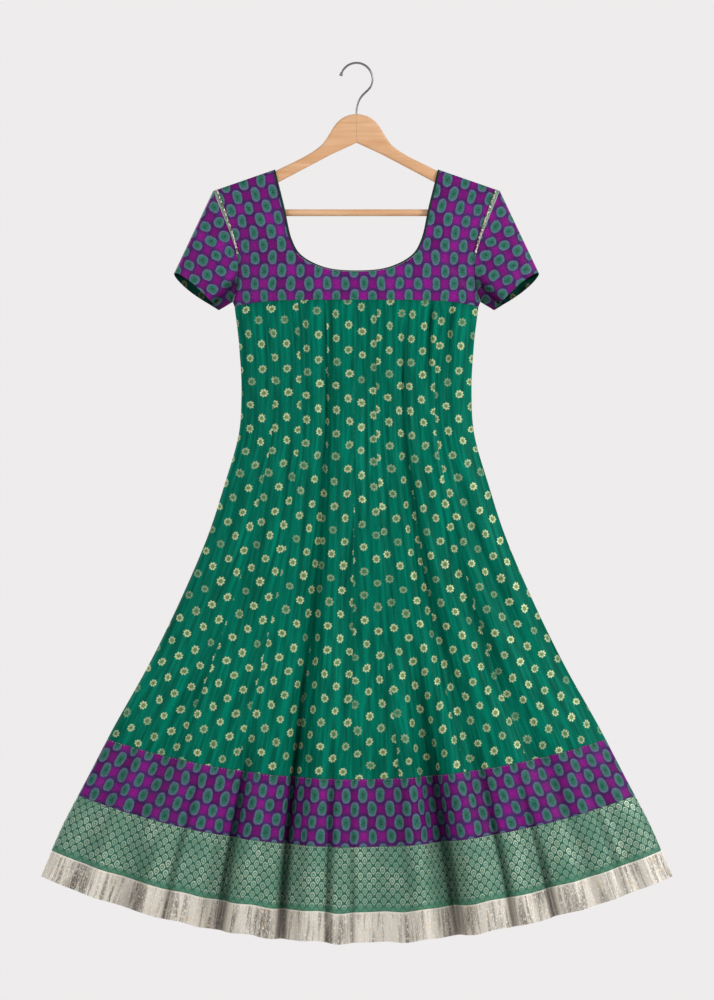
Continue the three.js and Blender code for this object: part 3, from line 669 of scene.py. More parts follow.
@dataclass(frozen=True)
class FlowerSilk(Finish):
    """Plain-woven green silk, with small flowers woven in flat gold thread.

    It gives the eye a deep green that brightens along each ridge, and flowers that catch the
    light unevenly.
    """

    pitch: tuple[float, float] = (41.0, 38.5)
    radius: float = 6.5
    petals: int = 8
    shade: float = 1.0

    def build(self, wiring: Wiring) -> None:
        """Add the finish's nodes."""
        add = wiring.add
        place = self.flat_place(wiring)
        wander = add("ShaderNodeTexNoise", {"Vector": place, "Scale": 0.022, "Detail": 2.0}, out=1)
        wander = add("ShaderNodeVectorMath", (wander, (12, 12, 0), (-6, -6, 0)), operation="MULTIPLY_ADD")
        fray = add("ShaderNodeTexNoise", {"Vector": place, "Scale": 0.6, "Detail": 1.0}, out=1)
        fray = add("ShaderNodeVectorMath", (fray, (2.2, 2.2, 0), wander), operation="MULTIPLY_ADD")
        frayed = add("ShaderNodeVectorMath", (place, fray), operation="ADD")
        local, number = self.repeat(wiring, frayed, self.pitch)
        luck = add("ShaderNodeTexWhiteNoise", (number,), noise_dimensions="3D")
        halves = add("ShaderNodeSeparateXYZ", (local,)).node
        angle = add("ShaderNodeMath", (halves.outputs[1], halves.outputs[0]), operation="ARCTAN2")
        turn = add("ShaderNodeMath", (angle, self.petals / 2, luck), operation="MULTIPLY_ADD")
        lobe = add("ShaderNodeMath", (turn,), operation="COSINE")
        lobe = add("ShaderNodeMath", (lobe,), operation="ABSOLUTE")
        lobe = add("ShaderNodeMath", (lobe, 0.5), operation="POWER")
        edge = add("ShaderNodeMath", (lobe, 0.42 * self.radius, 0.62 * self.radius), operation="MULTIPLY_ADD")
        far = add("ShaderNodeVectorMath", (local,), out="Value", operation="LENGTH")
        share = add("ShaderNodeMath", (far, edge), operation="DIVIDE")
        inside = add("ShaderNodeMapRange", (share, 0.86, 1.06, 1, 0))
        gold = add("ShaderNodeValToRGB", (share,), stops=ramp_stops(
            (0.0, "a9ad6f"), (0.18, "7f8c4f"), (0.38, "6c8a5a"), (0.54, "bccd98"), (0.8, "e2e9b9"),
            (1.0, "c0cf9b")))
        notch = add("ShaderNodeMapRange", (lobe, 0.3, 0.75, 0.4, 1))
        gold = add("ShaderNodeMix", {0: 1.0, 6: gold, 7: notch}, out=2, data_type="RGBA", blend_type="MULTIPLY")
        twist = add("ShaderNodeTexNoise", {"Vector": place, "Scale": 0.9, "Detail": 1.0})
        twist = add("ShaderNodeMapRange", (twist, 0.35, 0.6, 0.55, 1.05))
        dull = add("ShaderNodeMapRange", (luck, 0.0, 0.5, 0.35, 1))
        dull = add("ShaderNodeMath", (dull, twist), operation="MULTIPLY")
        shown = add("ShaderNodeMath", (inside, dull), operation="MULTIPLY")
        # Upright streaks in the green ground: partly uneven tone in the silk, partly painted light and shade of its
        # soft folds.
        grain = add("ShaderNodeVectorMath", (place, (0.14, 0.01, 0)), operation="MULTIPLY")
        streak = add("ShaderNodeTexNoise", {"Vector": grain, "Scale": 1.0, "Detail": 4.0, "Distortion": 0.4})
        ground = add("ShaderNodeValToRGB", (streak,), stops=ramp_stops(
            (0.27, "004f3e"), (0.5, "006b56"), (0.7, "00826a")))
        colour = add("ShaderNodeMix", {0: shown, 6: ground, 7: gold}, out=2, data_type="RGBA")
        weft = add("ShaderNodeVectorMath", (place, (0.3, 1.2, 0)), operation="MULTIPLY")
        weft = add("ShaderNodeTexNoise", {"Vector": weft, "Scale": 0.7, "Detail": 2.0})
        grade = add("ShaderNodeMapRange", (weft, 0.25, 0.75, 0.82 * self.shade, 1.18 * self.shade))
        colour = add("ShaderNodeMix", {0: 1.0, 6: colour, 7: grade}, out=2, data_type="RGBA", blend_type="MULTIPLY")
        relief = add("ShaderNodeMath", (inside, 0.7, weft), operation="MULTIPLY_ADD")
        metal = add("ShaderNodeMath", (shown, 0.3), operation="MULTIPLY")
        colour = self.in_folds(wiring, colour)
        self.surface(wiring, colour, relief, 0.25, Metallic=metal, Roughness=0.48, Specular_IOR_Level=0.03)


@dataclass(frozen=True)
class DropBrocade(Finish):
    """Brocade in dull green, close-set with drops outlined in silver thread.

    It gives the eye a fine scaled surface of green and silver drops, with a painted shine that turns the drops silver
    in broad patches.
    """

    pitch: tuple[float, float] = (15.0, 16.4)
    drop: tuple[float, float] = (4.6, 6.1)  # half its width and height
    plain: float = 9.0  # mm at the lower edge with hardly any drops

    def build(self, wiring: Wiring) -> None:
        """Add the finish's nodes."""
        add = wiring.add
        place = self.flat_place(wiring)
        fray = add("ShaderNodeTexNoise", {"Vector": place, "Scale": 1.0, "Detail": 1.0}, out=1)
        fray = add("ShaderNodeVectorMath", (fray, (1.3, 1.3, 0)), operation="MULTIPLY")
        frayed = add("ShaderNodeVectorMath", (place, fray), operation="ADD")
        local, number = self.repeat(wiring, frayed, self.pitch)
        halves = add("ShaderNodeSeparateXYZ", (local,)).node
        # A drop is a ring drawn in to a point below its middle.
        narrow = add("ShaderNodeMapRange", (halves.outputs[1], -self.drop[1], 0.5, 0.45, 1.0))
        wide = add("ShaderNodeMath", (halves.outputs[0], narrow), operation="DIVIDE")
        ends = add("ShaderNodeCombineXYZ", (wide, halves.outputs[1]))
        ends = add("ShaderNodeVectorMath", (ends, (*self.drop, 1)), operation="DIVIDE")
        share = add("ShaderNodeVectorMath", (ends,), out="Value", operation="LENGTH")
        inside = add("ShaderNodeMapRange", (share, 0.94, 1.08, 1, 0))
        figure = add("ShaderNodeValToRGB", (share,), stops=ramp_stops(
            (0.0, "d3dfcb"), (0.2, "a9bda6"), (0.34, "5c826e"), (0.58, "638b77"), (0.76, "bccdb6"),
            (0.92, "ccdac4"), (1.0, "7fa28c")))
        dimmed = add("ShaderNodeValToRGB", (share,), stops=ramp_stops((0.3, "56886f"), (0.9, "4d8068")))
        luck = add("ShaderNodeTexWhiteNoise", (number,), noise_dimensions="3D")
        luck = add("ShaderNodeMapRange", (luck, 0, 1, 0.5, 1))
        # Painted shine: the drops are painted silver in broad patches and dim green between them, each drop also
        # brighter or duller at random.
        broad = add("ShaderNodeTexNoise", {"Vector": place, "Scale": 0.016, "Detail": 2.0})
        bright = add("ShaderNodeMapRange", (broad, 0.36, 0.62, 0.35, 1))
        bright = add("ShaderNodeMath", (bright, luck), operation="MULTIPLY")
        above = add("ShaderNodeSeparateXYZ", (place,), out=1)
        above = add("ShaderNodeMapRange", (above, self.plain * 0.7, self.plain * 1.2, 0.1, 1))
        bright = add("ShaderNodeMath", (bright, above), operation="MULTIPLY")
        figure = add("ShaderNodeMix", {0: bright, 6: dimmed, 7: figure}, out=2, data_type="RGBA")
        weft = add("ShaderNodeVectorMath", (place, (0.4, 1.3, 0)), operation="MULTIPLY")
        weft = add("ShaderNodeTexNoise", {"Vector": weft, "Scale": 0.8, "Detail": 2.0})
        ground = add("ShaderNodeValToRGB", (weft,), stops=ramp_stops(
            (0.25, "1f4c40"), (0.5, "2e6352"), (0.75, "427a67")))
        plain = add("ShaderNodeMapRange", (above, 0.1, 1, 0.8, 0))
        ground = add("ShaderNodeMix", {0: plain, 6: ground, 7: hex_colour("3f7a63")}, out=2, data_type="RGBA")
        colour = add("ShaderNodeMix", {0: inside, 6: ground, 7: figure}, out=2, data_type="RGBA")
        shown = add("ShaderNodeMath", (inside, bright), operation="MULTIPLY")
        relief = add("ShaderNodeMath", (shown, 0.8, weft), operation="MULTIPLY_ADD")
        metal = add("ShaderNodeMath", (shown, 0.3), operation="MULTIPLY")
        colour = self.in_folds(wiring, colour, 0.5)
        self.surface(wiring, colour, relief, 0.3, Metallic=metal, Roughness=0.42, Specular_IOR_Level=0.15)


@dataclass(frozen=True)
class ZariTissue(Finish):
    """Tissue woven of flat silver-gilt strip, crushed into fine upright pleats.

    It gives the eye pale metal broken into bright and dull upright stripes.
    """

    def build(self, wiring: Wiring) -> None:
        """Add the finish's nodes."""
        add = wiring.add
        place = self.flat_place(wiring)
        upright = add("ShaderNodeVectorMath", (place, (0.17, 0.012, 0)), operation="MULTIPLY")
        pleat = add("ShaderNodeTexNoise", {"Vector": upright, "Scale": 1.0, "Detail": 5.0, "Distortion": 0.6})
        broad = add("ShaderNodeVectorMath", (place, (0.028, 0.005, 0)), operation="MULTIPLY")
        broad = add("ShaderNodeTexNoise", {"Vector": broad, "Scale": 1.0, "Detail": 2.0})
        mixed = add("ShaderNodeMath", (broad, 0.9, pleat), operation="MULTIPLY_ADD")
        # Painted highlight and shade on the crushed pleats: pale where the relief stands high, dark where it sinks.
        tone = add("ShaderNodeValToRGB", (mixed,), stops=ramp_stops(
            (0.68, "6e6963"), (0.8, "96918a"), (0.9, "bdb7ae"), (1.0, "ded8ce")))
        warm = add("ShaderNodeTexNoise", {"Vector": place, "Scale": 0.09, "Detail": 2.0})
        warm = add("ShaderNodeMapRange", (warm, 0.52, 0.7, 0, 0.35))
        tone = add("ShaderNodeMix", {0: warm, 6: tone, 7: hex_colour("d3b98f")}, out=2, data_type="RGBA")
        # Fine crossing creases pressed into the tissue, drawn as pale lines of painted highlight.
        for way in ((0.1, 0.17, 0), (-0.12, 0.15, 0)):
            slant = add("ShaderNodeVectorMath", (place, way), out="Value", operation="DOT_PRODUCT")
            slant = add("ShaderNodeMath", (pleat, 2.5, slant), operation="MULTIPLY_ADD")
            slant = add("ShaderNodeMath", (slant, 0.5), operation="PINGPONG")
            slant = add("ShaderNodeMapRange", (slant, 0.0, 0.07, 0.35, 0))
            tone = add("ShaderNodeMix", {0: slant, 6: tone, 7: hex_colour("e9e1d2")}, out=2, data_type="RGBA")
        glint = add("ShaderNodeVectorMath", (place, (0.5, 0.2, 0)), operation="MULTIPLY")
        glint = add("ShaderNodeTexNoise", {"Vector": glint, "Scale": 1.0, "Detail": 2.0})
        spark = add("ShaderNodeMapRange", (glint, 0.54, 0.66, 0, 0.9))
        colour = add("ShaderNodeMix", {0: spark, 6: tone, 7: hex_colour("f5eedf")}, out=2, data_type="RGBA")
        edge = add("ShaderNodeSeparateXYZ", (place,), out=1)
        edge = add("ShaderNodeMapRange", (edge, -2.8, -1.4, 0, 0.75))
        colour = add("ShaderNodeMix", {0: edge, 6: colour, 7: hex_colour("f3ede0")}, out=2, data_type="RGBA")
        colour = self.in_folds(wiring, colour, 0.55)
        self.surface(wiring, colour, mixed, 1.6, Metallic=0.35, Roughness=0.45, Specular_IOR_Level=0.3)


@dataclass(frozen=True)
class PlainSatin(Finish):
    """Narrow bias-cut satin for bindings and edgings, with a faint cross rib.

    It gives the eye a soft line of light along its turned edge.
    """

    dark: str = "06191a"
    light: str = "123736"
    rough: float = 0.45

    def build(self, wiring: Wiring) -> None:
        """Add the finish's nodes."""
        add = wiring.add
        place = self.flat_place(wiring)
        rib = add("ShaderNodeVectorMath", (place, (0.5, 0.9, 0)), operation="MULTIPLY")
        rib = add("ShaderNodeTexNoise", {"Vector": rib, "Scale": 0.8, "Detail": 2.0})
        colour = add("ShaderNodeValToRGB", (rib,), stops=ramp_stops((0.3, self.dark), (0.7, self.light)))
        self.surface(wiring, colour, rib, 0.2, Roughness=self.rough, Specular_IOR_Level=0.2)


@dataclass(frozen=True)
class ZariThread(Finish):
    """Gilt thread wound on a silk core, in stitches and cord.

    It gives the eye small points of gold and white.
    """

    dark: str = "6f6c4e"
    light: str = "f6f0dc"

    def build(self, wiring: Wiring) -> None:
        """Add the finish's nodes."""
        add = wiring.add
        place = add("ShaderNodeTexCoord", out="Object")
        spark = add("ShaderNodeTexNoise", {"Vector": place, "Scale": 300.0, "Detail": 1.0})
        colour = add("ShaderNodeValToRGB", (spark,), stops=ramp_stops((0.4, self.dark), (0.58, self.light)))
        self.surface(wiring, colour, spark, 0.15, Metallic=0.4, Roughness=0.35)


@dataclass(frozen=True)
class Beech(Finish):
    """Steamed beech, planed, sanded and clear-lacquered.

    It gives the eye a warm pale wood with long faint grain and short dark flecks.
    """

    def build(self, wiring: Wiring) -> None:
        """Add the finish's nodes."""
        add = wiring.add
        place = add("ShaderNodeTexCoord", out="Object")
        place = add("ShaderNodeVectorMath", (place, (1 / MM,) * 3), operation="MULTIPLY")
        along = add("ShaderNodeVectorMath", (place, (0.012, 0.1, 0.16)), operation="MULTIPLY")
        grain = add("ShaderNodeTexNoise", {"Vector": along, "Scale": 1.0, "Detail": 5.0, "Distortion": 0.6})
        colour = add("ShaderNodeValToRGB", (grain,), stops=ramp_stops(
            (0.3, "daa374"), (0.5, "e4b184"), (0.7, "edc097")))
        fleck = add("ShaderNodeVectorMath", (place, (0.35, 1.0, 1.6)), operation="MULTIPLY")
        fleck = add("ShaderNodeTexNoise", {"Vector": fleck, "Scale": 1.0, "Detail": 1.0})
        fleck = add("ShaderNodeMapRange", (fleck, 0.66, 0.74, 0, 0.25))
        colour = add("ShaderNodeMix", {0: fleck, 6: colour, 7: hex_colour("b57a48")}, out=2, data_type="RGBA")
        self.surface(wiring, colour, grain, 0.1, Roughness=0.45, Specular_IOR_Level=0.3, Coat_Weight=0.15,
                     Coat_Roughness=0.3)


@dataclass(frozen=True)
class ChromedWire(Finish):
    """Drawn steel wire with worn chromium plate.

    It gives the eye a clean grey metal with faint marks along its length.
    """

    def build(self, wiring: Wiring) -> None:
        """Add the finish's nodes."""
        add = wiring.add
        place = add("ShaderNodeTexCoord", out="Object")
        marks = add("ShaderNodeTexNoise", {"Vector": place, "Scale": 900.0, "Detail": 2.0})
        colour = add("ShaderNodeValToRGB", (marks,), stops=ramp_stops((0.3, "7a7a7e"), (0.7, "a0a0a4")))
        self.surface(wiring, colour, marks, 0.02, Metallic=1.0, Roughness=0.36)


PURPLE = FiguredSilk("figured_silk_purple", Slot.PURPLE_SILK, shade=0.98)
PURPLE_BAND = FiguredSilk(
    "figured_silk_purple_band", Slot.PURPLE_SILK, pitch=(29.5, 44.0), oval=(7.9, 12.5), shade=0.88)
GREEN = FlowerSilk("flowered_silk_green", Slot.GREEN_SILK)
# A darker copy of the green silk, as painted shade inside the cuffs.
GREEN_SHADED_INSIDE = FlowerSilk("flowered_silk_green_shaded_inside", Slot.GREEN_SILK, shade=0.22)
BROCADE = DropBrocade("drop_brocade_green", Slot.GREEN_BROCADE)
TISSUE = ZariTissue("zari_tissue_crushed", Slot.ZARI_TISSUE)
BINDING = PlainSatin("bias_satin_dark_green", Slot.GREEN_SILK)
EDGING = PlainSatin("satin_edging_silver_green", Slot.ZARI_TISSUE, "4f7766", "a5bfa9")
THREAD = ZariThread("zari_thread", Slot.ZARI_TISSUE)
WOOD = Beech("beech_lacquered", Slot.BEECH)
WIRE = ChromedWire("steel_wire_chromed", Slot.CHROMED_WIRE)


def dress(piece: bpy.types.Object, finish: Finish, *nodes: str) -> bpy.types.Object:
    """Give a piece its finish and its place in the frame.

    Args:
        piece: The piece.
        finish: Its finish.
        nodes: The solid parts that it stands for.

    Returns:
        The piece.
    """
    piece.data.materials.clear()
    piece.data.materials.append(finish.material())
    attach(piece, "root")
    if nodes:
        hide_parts(*nodes)
    LOG.info("%s: %d faces", piece.name, len(piece.data.polygons))
    return piece


# ---------------------------------------------------------------- the skirt


@dataclass(frozen=True)
class Level:
    """A stretch of the skirt between two side-seam heights, in one cloth."""

    name: str
    top: float
    bottom: float
    rows: int
    finish: Finish


@dataclass
class Skirt:
    """Eight kalis on each face, sewn to the yoke, and three bands round the hem."""

    seams: tuple[float, ...] = (-1, -0.72, -0.48, -0.25, -0.02, 0.17, 0.43, 0.68, 1)
    kali: Level = Level("kali", YOKE_SEAM, -1080, 150, GREEN)
    bands: tuple[Level, ...] = (
        Level("purple_band", -1080, -1170, 30, PURPLE_BAND),
        Level("brocade_border", -1170, -1258, 30, BROCADE),
        Level("zari_hem", -1258, HEM, 16, TISSUE),
    )
    columns: dict[Face, int] = field(default_factory=lambda: {Face.FRONT: 28, Face.BACK: 20})
    band_columns: dict[Face, int] = field(default_factory=lambda: {Face.FRONT: 420, Face.BACK: 280})
    seam_dip: float = 0.2  # how far the cloth dips to a seam, in millimetres
    seam_reach: float = 2.0  # from this far away
    seam_space: float = 0.04  # between two kalis
    full_fold: float = 800.0  # depth over width of a fold too steep for light to reach into

    def points(self, face: Face, across: np.ndarray, z: np.ndarray) -> np.ndarray:
        """Places on the outside of the skirt.

        Args:
            face: The front or the back.
            across: Places across, from -1 at the right side seam to 1 at the left.
            z: The height of each level line at the side seams.

        Returns:
            Points in millimetres.
        """
        across, z = np.broadcast_arrays(across, z)
        pushed = sum(fold.depth(across, z) for fold in FOLDS[face] + CREASES[face])
        settled = smoothstep(YOKE_SEAM - z, 0, 90)
        pushed = pushed + settled * ripple(across, z, 3 + face.way, 0.9)
        edge = 1 - across**8
        y = face.way * (SEAM / 2 + SIDE.at(face.value, z) * lens(across) - pushed * edge)
        sway = settled * 1.1 * np.sin(z / 41 + 1.7 * np.sin(z / 97)) * across
        drop = SIDE.at("drop", z) * (1 - np.abs(across) ** level_bend(z))
        loose = smoothstep(-z, 1170, -HEM)
        wave = 1.5 * loose * (np.sin(across * 31) + 0.6 * np.sin(across * 57 + 2)) * (1 - across**2)
        return np.stack([SIDE.at("half", z) * across + sway, y, z - drop + wave], axis=-1)

    def fold_shade(self, face: Face, across: np.ndarray, z: np.ndarray) -> np.ndarray:
        """The painted shade on places of the skirt, from 0 to 1: darker in narrow folds than in wide ones."""
        across, z = np.broadcast_arrays(across, z)
        folds = sum(fold.depth(across, z) / fold.wide for fold in FOLDS[face] + CREASES[face])
        # Painted shade in a thin line just under the yoke seam.
        under = 0.3 * (1 - smoothstep(YOKE_SEAM - z, 0, 7))
        return np.clip(np.maximum(folds, 0) / self.full_fold + under, 0, 1)

    def dipped(self, points: np.ndarray, face: Face) -> np.ndarray:
        """Sink a panel's two sewn edges a little into the gown."""
        along = lengths(points, 1)
        near = np.minimum(along, along[:, -1:] - along)
        points[..., 1] -= face.way * self.seam_dip * (1 - smoothstep(near, 0, self.seam_reach))
        return points

    def panel(self, face: Face, i: int) -> Patch:
        """The grid of one kali.

        Args:
            face: The front or the back.
            i: Its number, from 0 at the right side seam.

        Returns:
            The patch.
        """
        right, left = self.seams[i:i + 2]
        z = np.linspace(self.kali.top - SEAM / 2, self.kali.bottom + SEAM / 2, self.kali.rows + 1)[:, None]
        space = self.seam_space / 2 / SIDE.at("half", z)
        start = right + (space if right > -1 else 0)
        end = left - (space if left < 1 else 0)
        share = np.linspace(0, 1, self.columns[face] + 1)
        share = share + 0.06 * np.sin(2 * np.pi * share) / np.pi
        across = lerp(start, end, share)
        points = self.dipped(self.points(face, across, z), face)
        luck = np.random.default_rng(40 + i + 8 * (face is Face.BACK))
        cloth = flattened(points) + luck.uniform(-20, 20, 2)
        return Patch(points, cloth, face is Face.BACK, self.fold_shade(face, across, z))

    def band(self, face: Face, level: Level) -> Patch:
        """The grid of one band.

        Args:
            face: The front or the back.
            level: The band.

        Returns:
            The patch.
        """
        top, bottom = level.top - SEAM / 2, level.bottom + (SEAM / 2 if level.bottom > HEM else 0)
        z = np.linspace(top, bottom, level.rows + 1)[:, None]
        across = np.sin(np.linspace(-1, 1, self.band_columns[face] + 1) * 1.35) / math.sin(1.35)
        points = self.points(face, across, z)
        run = lengths(points[level.rows // 2][None], 1)[0]
        run = run - run[len(run) // 2]
        down = -lengths(points, 0)
        if level.finish is BROCADE:
            down = down - down[-1:]
        cloth = np.stack([np.broadcast_to(run, down.shape), down], axis=-1)
        return Patch(points, cloth, face is Face.BACK, self.fold_shade(face, across, z))

    def build(self) -> list[bpy.types.Object]:
        """Make and dress every panel and band."""
        made = []
        for face in Face:
            kalis = []
            for i in range(len(self.seams) - 1):
                patch = self.panel(face, i)
                piece = cloth_piece(f"gown_{face.value}_kali_{i + 1}", [patch], CLOTH)
                dress(piece, GREEN, f"{face.value}_kali_{i + 1}")
                kalis.append(piece)
            for level in self.bands:
                patch = self.band(face, level)
                piece = cloth_piece(f"gown_{face.value}_{level.name}", [patch], CLOTH)
                dress(piece, level.finish, f"{face.value}_{level.name}")
                made.append(piece)
            made += kalis
        return made


# ---------------------------------------------------------------- the yoke and sleeves

# Rows of the yoke above the underarm: how far each is along the neck edge and the armhole.
ROW_NECK = (0, 0.14, 0.28, 0.4, 0.52, 0.66, 0.8, 0.955, 0.987, 1)
ROW_ARM = (0.16, 0.25, 0.34, 0.44, 0.55, 0.68, 0.82, 0.953, 0.986, 1)


def shoulder_line(x: np.ndarray) -> np.ndarray:
    """The height of the shoulder seam."""
    slope = (SHOULDER_TIP[1] - NECK_POINT[1]) / (SHOULDER_TIP[0] - NECK_POINT[0])
    return NECK_POINT[1] + slope * (np.abs(x) - NECK_POINT[0])


def yoke_points(face: Face, x: np.ndarray, z: np.ndarray, edge: np.ndarray) -> np.ndarray:
    """Places on the outside of the yoke.

    Args:
        face: The front or the back.
        x: Places across.
        z: Heights.
        edge: The yoke's half-width on each row.

    Returns:
        Points in millimetres.
    """
    x, z, edge = np.broadcast_arrays(x, z, edge)
    tilt = np.clip(1 - np.maximum(shoulder_line(x) - z, 0) / ROLL, 0, 1)
    rim = YOKE_DEPTH.at("edge", z)
    depth = rim + (YOKE_DEPTH.at(face.value, z) - rim) * lens(x / edge)
    return np.stack([x, face.way * (SEAM / 2 + depth * np.sqrt(1 - tilt**2)), z], axis=-1)


@dataclass
class Yoke:
    """The fitted top of the gown, cut with a wide scooped neck, front and back."""

    half: float = 195.0
    drop: float = -11.0  # of its seam's middle, so it rises there
    strap_lean: float = 9.0  # degrees by which the cloth's grain turns out up the straps
    lean_from: float = -335.0
    lean_to: float = -195.0
    strap_middle: tuple[float, float] = (150.0, -300.0)

    def rows(self, face: Face) -> tuple[np.ndarray, np.ndarray, np.ndarray]:
        """Rows of the left half, from the shoulder down.

        Args:
            face: The front or the back.

        Returns:
            Each row's inner (x, z), its outer (x, z), and the yoke's half-width there.
        """
        steps = np.linspace(9, 0, 73)
        neck = NECKS[face].at(0.5 + np.interp(steps, range(10), ROW_NECK) / 2)
        arm = ARMHOLE.at(np.interp(steps, range(10), ROW_ARM))
        low = np.linspace(0, 1, 15)[1:]
        middle = (neck[-1, 1] + self.seam_height(0.0)) / 2
        inner = np.stack([np.zeros(14), lerp(neck[-1, 1], middle, low)], axis=-1)
        outer = ARMHOLE.at(ROW_ARM[0] * (1 - low))
        return np.vstack([neck, inner]), np.vstack([arm, outer]), np.concatenate([arm[:, 0], outer[:, 0]])

    def seam_height(self, x: Any) -> Any:
        """The height of the seam to the skirt."""
        return YOKE_SEAM - self.drop * (1 - (x / self.half) ** level_bend(YOKE_SEAM)) + SEAM / 2

    def half_patch(self, face: Face) -> Patch:
        """The grid of the left half.

        Args:
            face: The front or the back.

        Returns:
            The patch.
        """
        share = 1 - (1 - np.linspace(0, 1, 41)) ** 1.5
        inner, outer, edge = self.rows(face)
        upper = lerp(inner[:, None], outer[:, None], share[None, :, None])
        seam = np.stack([self.half * share, self.seam_height(self.half * share)], axis=-1)
        low = np.linspace(0, 1, 13)[1:, None, None]
        lower = lerp(upper[-1][None], seam[None], low)
        places = np.vstack([upper, lower])
        edges = np.concatenate([edge, lerp(edge[-1], self.half, low[:, 0, 0])])[:, None]
        points = yoke_points(face, places[..., 0], places[..., 1], edges)
        points[..., 1] -= face.way * self.creases(points[..., 0], points[..., 2])
        # Painted shade on the yoke beside the lower part of the armhole, where the sleeve meets the body.
        beside = 1 - smoothstep(edges - places[..., 0], 0, 8)
        fold_shade = 0.8 * beside * (1 - smoothstep(places[..., 1], -320, -265))
        return Patch(points, self.flat(points), face is Face.BACK, fold_shade)

    def creases(self, x: np.ndarray, z: np.ndarray) -> np.ndarray:
        """How far the yoke's faint wrinkles push it in, none at its edges."""
        quiet = smoothstep(z, -389, -372) * (1 - smoothstep(z, -240, -205))
        wave = 0.9 * np.sin(x / 17 + z / 31) + 0.6 * np.sin(x / 9.5 - z / 23 + 1)
        pull = 2.4 * np.exp(-(((x - 172) * 0.75 + (z + 345) * 0.66) / 7) ** 2) * smoothstep(x, 120, 160)
        return quiet * (wave * 0.45 + pull * (1 - smoothstep(x, 178, 190)))

    def flat(self, points: np.ndarray) -> np.ndarray:
        """Lay the half flat.

        Args:
            points: The grid.

        Returns:
            The place of each point on the flat cloth, turned out along the strap.
        """
        flat = unrolled(points, 0)
        turn = np.radians(self.strap_lean) * smoothstep(points[..., 2], self.lean_from, self.lean_to)
        turn = turn * smoothstep(points[..., 0], 60, 110)
        off = flat - self.strap_middle
        x = off[..., 0] * np.cos(turn) - off[..., 1] * np.sin(turn)
        z = off[..., 0] * np.sin(turn) + off[..., 1] * np.cos(turn)
        return np.stack([x, z], axis=-1) + self.strap_middle

    def build(self) -> list[bpy.types.Object]:
        """Make and dress the two faces."""
        made = []
        for face in Face:
            left = self.half_patch(face)
            patches = [left, left.mirrored()]
            piece = cloth_piece(f"gown_{face.value}_yoke", patches, CLOTH, weld=True)
            dress(piece, PURPLE, f"{face.value}_yoke")
            made.append(piece)
        return made

    def declare(self, made: Sequence[bpy.types.Object], on_it: Sequence[bpy.types.Object]) -> None:
        """Args:
            made: The yoke's faces, front first.
            on_it: The strips and stitches sewn on the front one. Not used.
        """
        for face, piece in zip(Face, made):
            left = self.half_patch(face)
            flat, area = flat_cut([left, left.mirrored()])


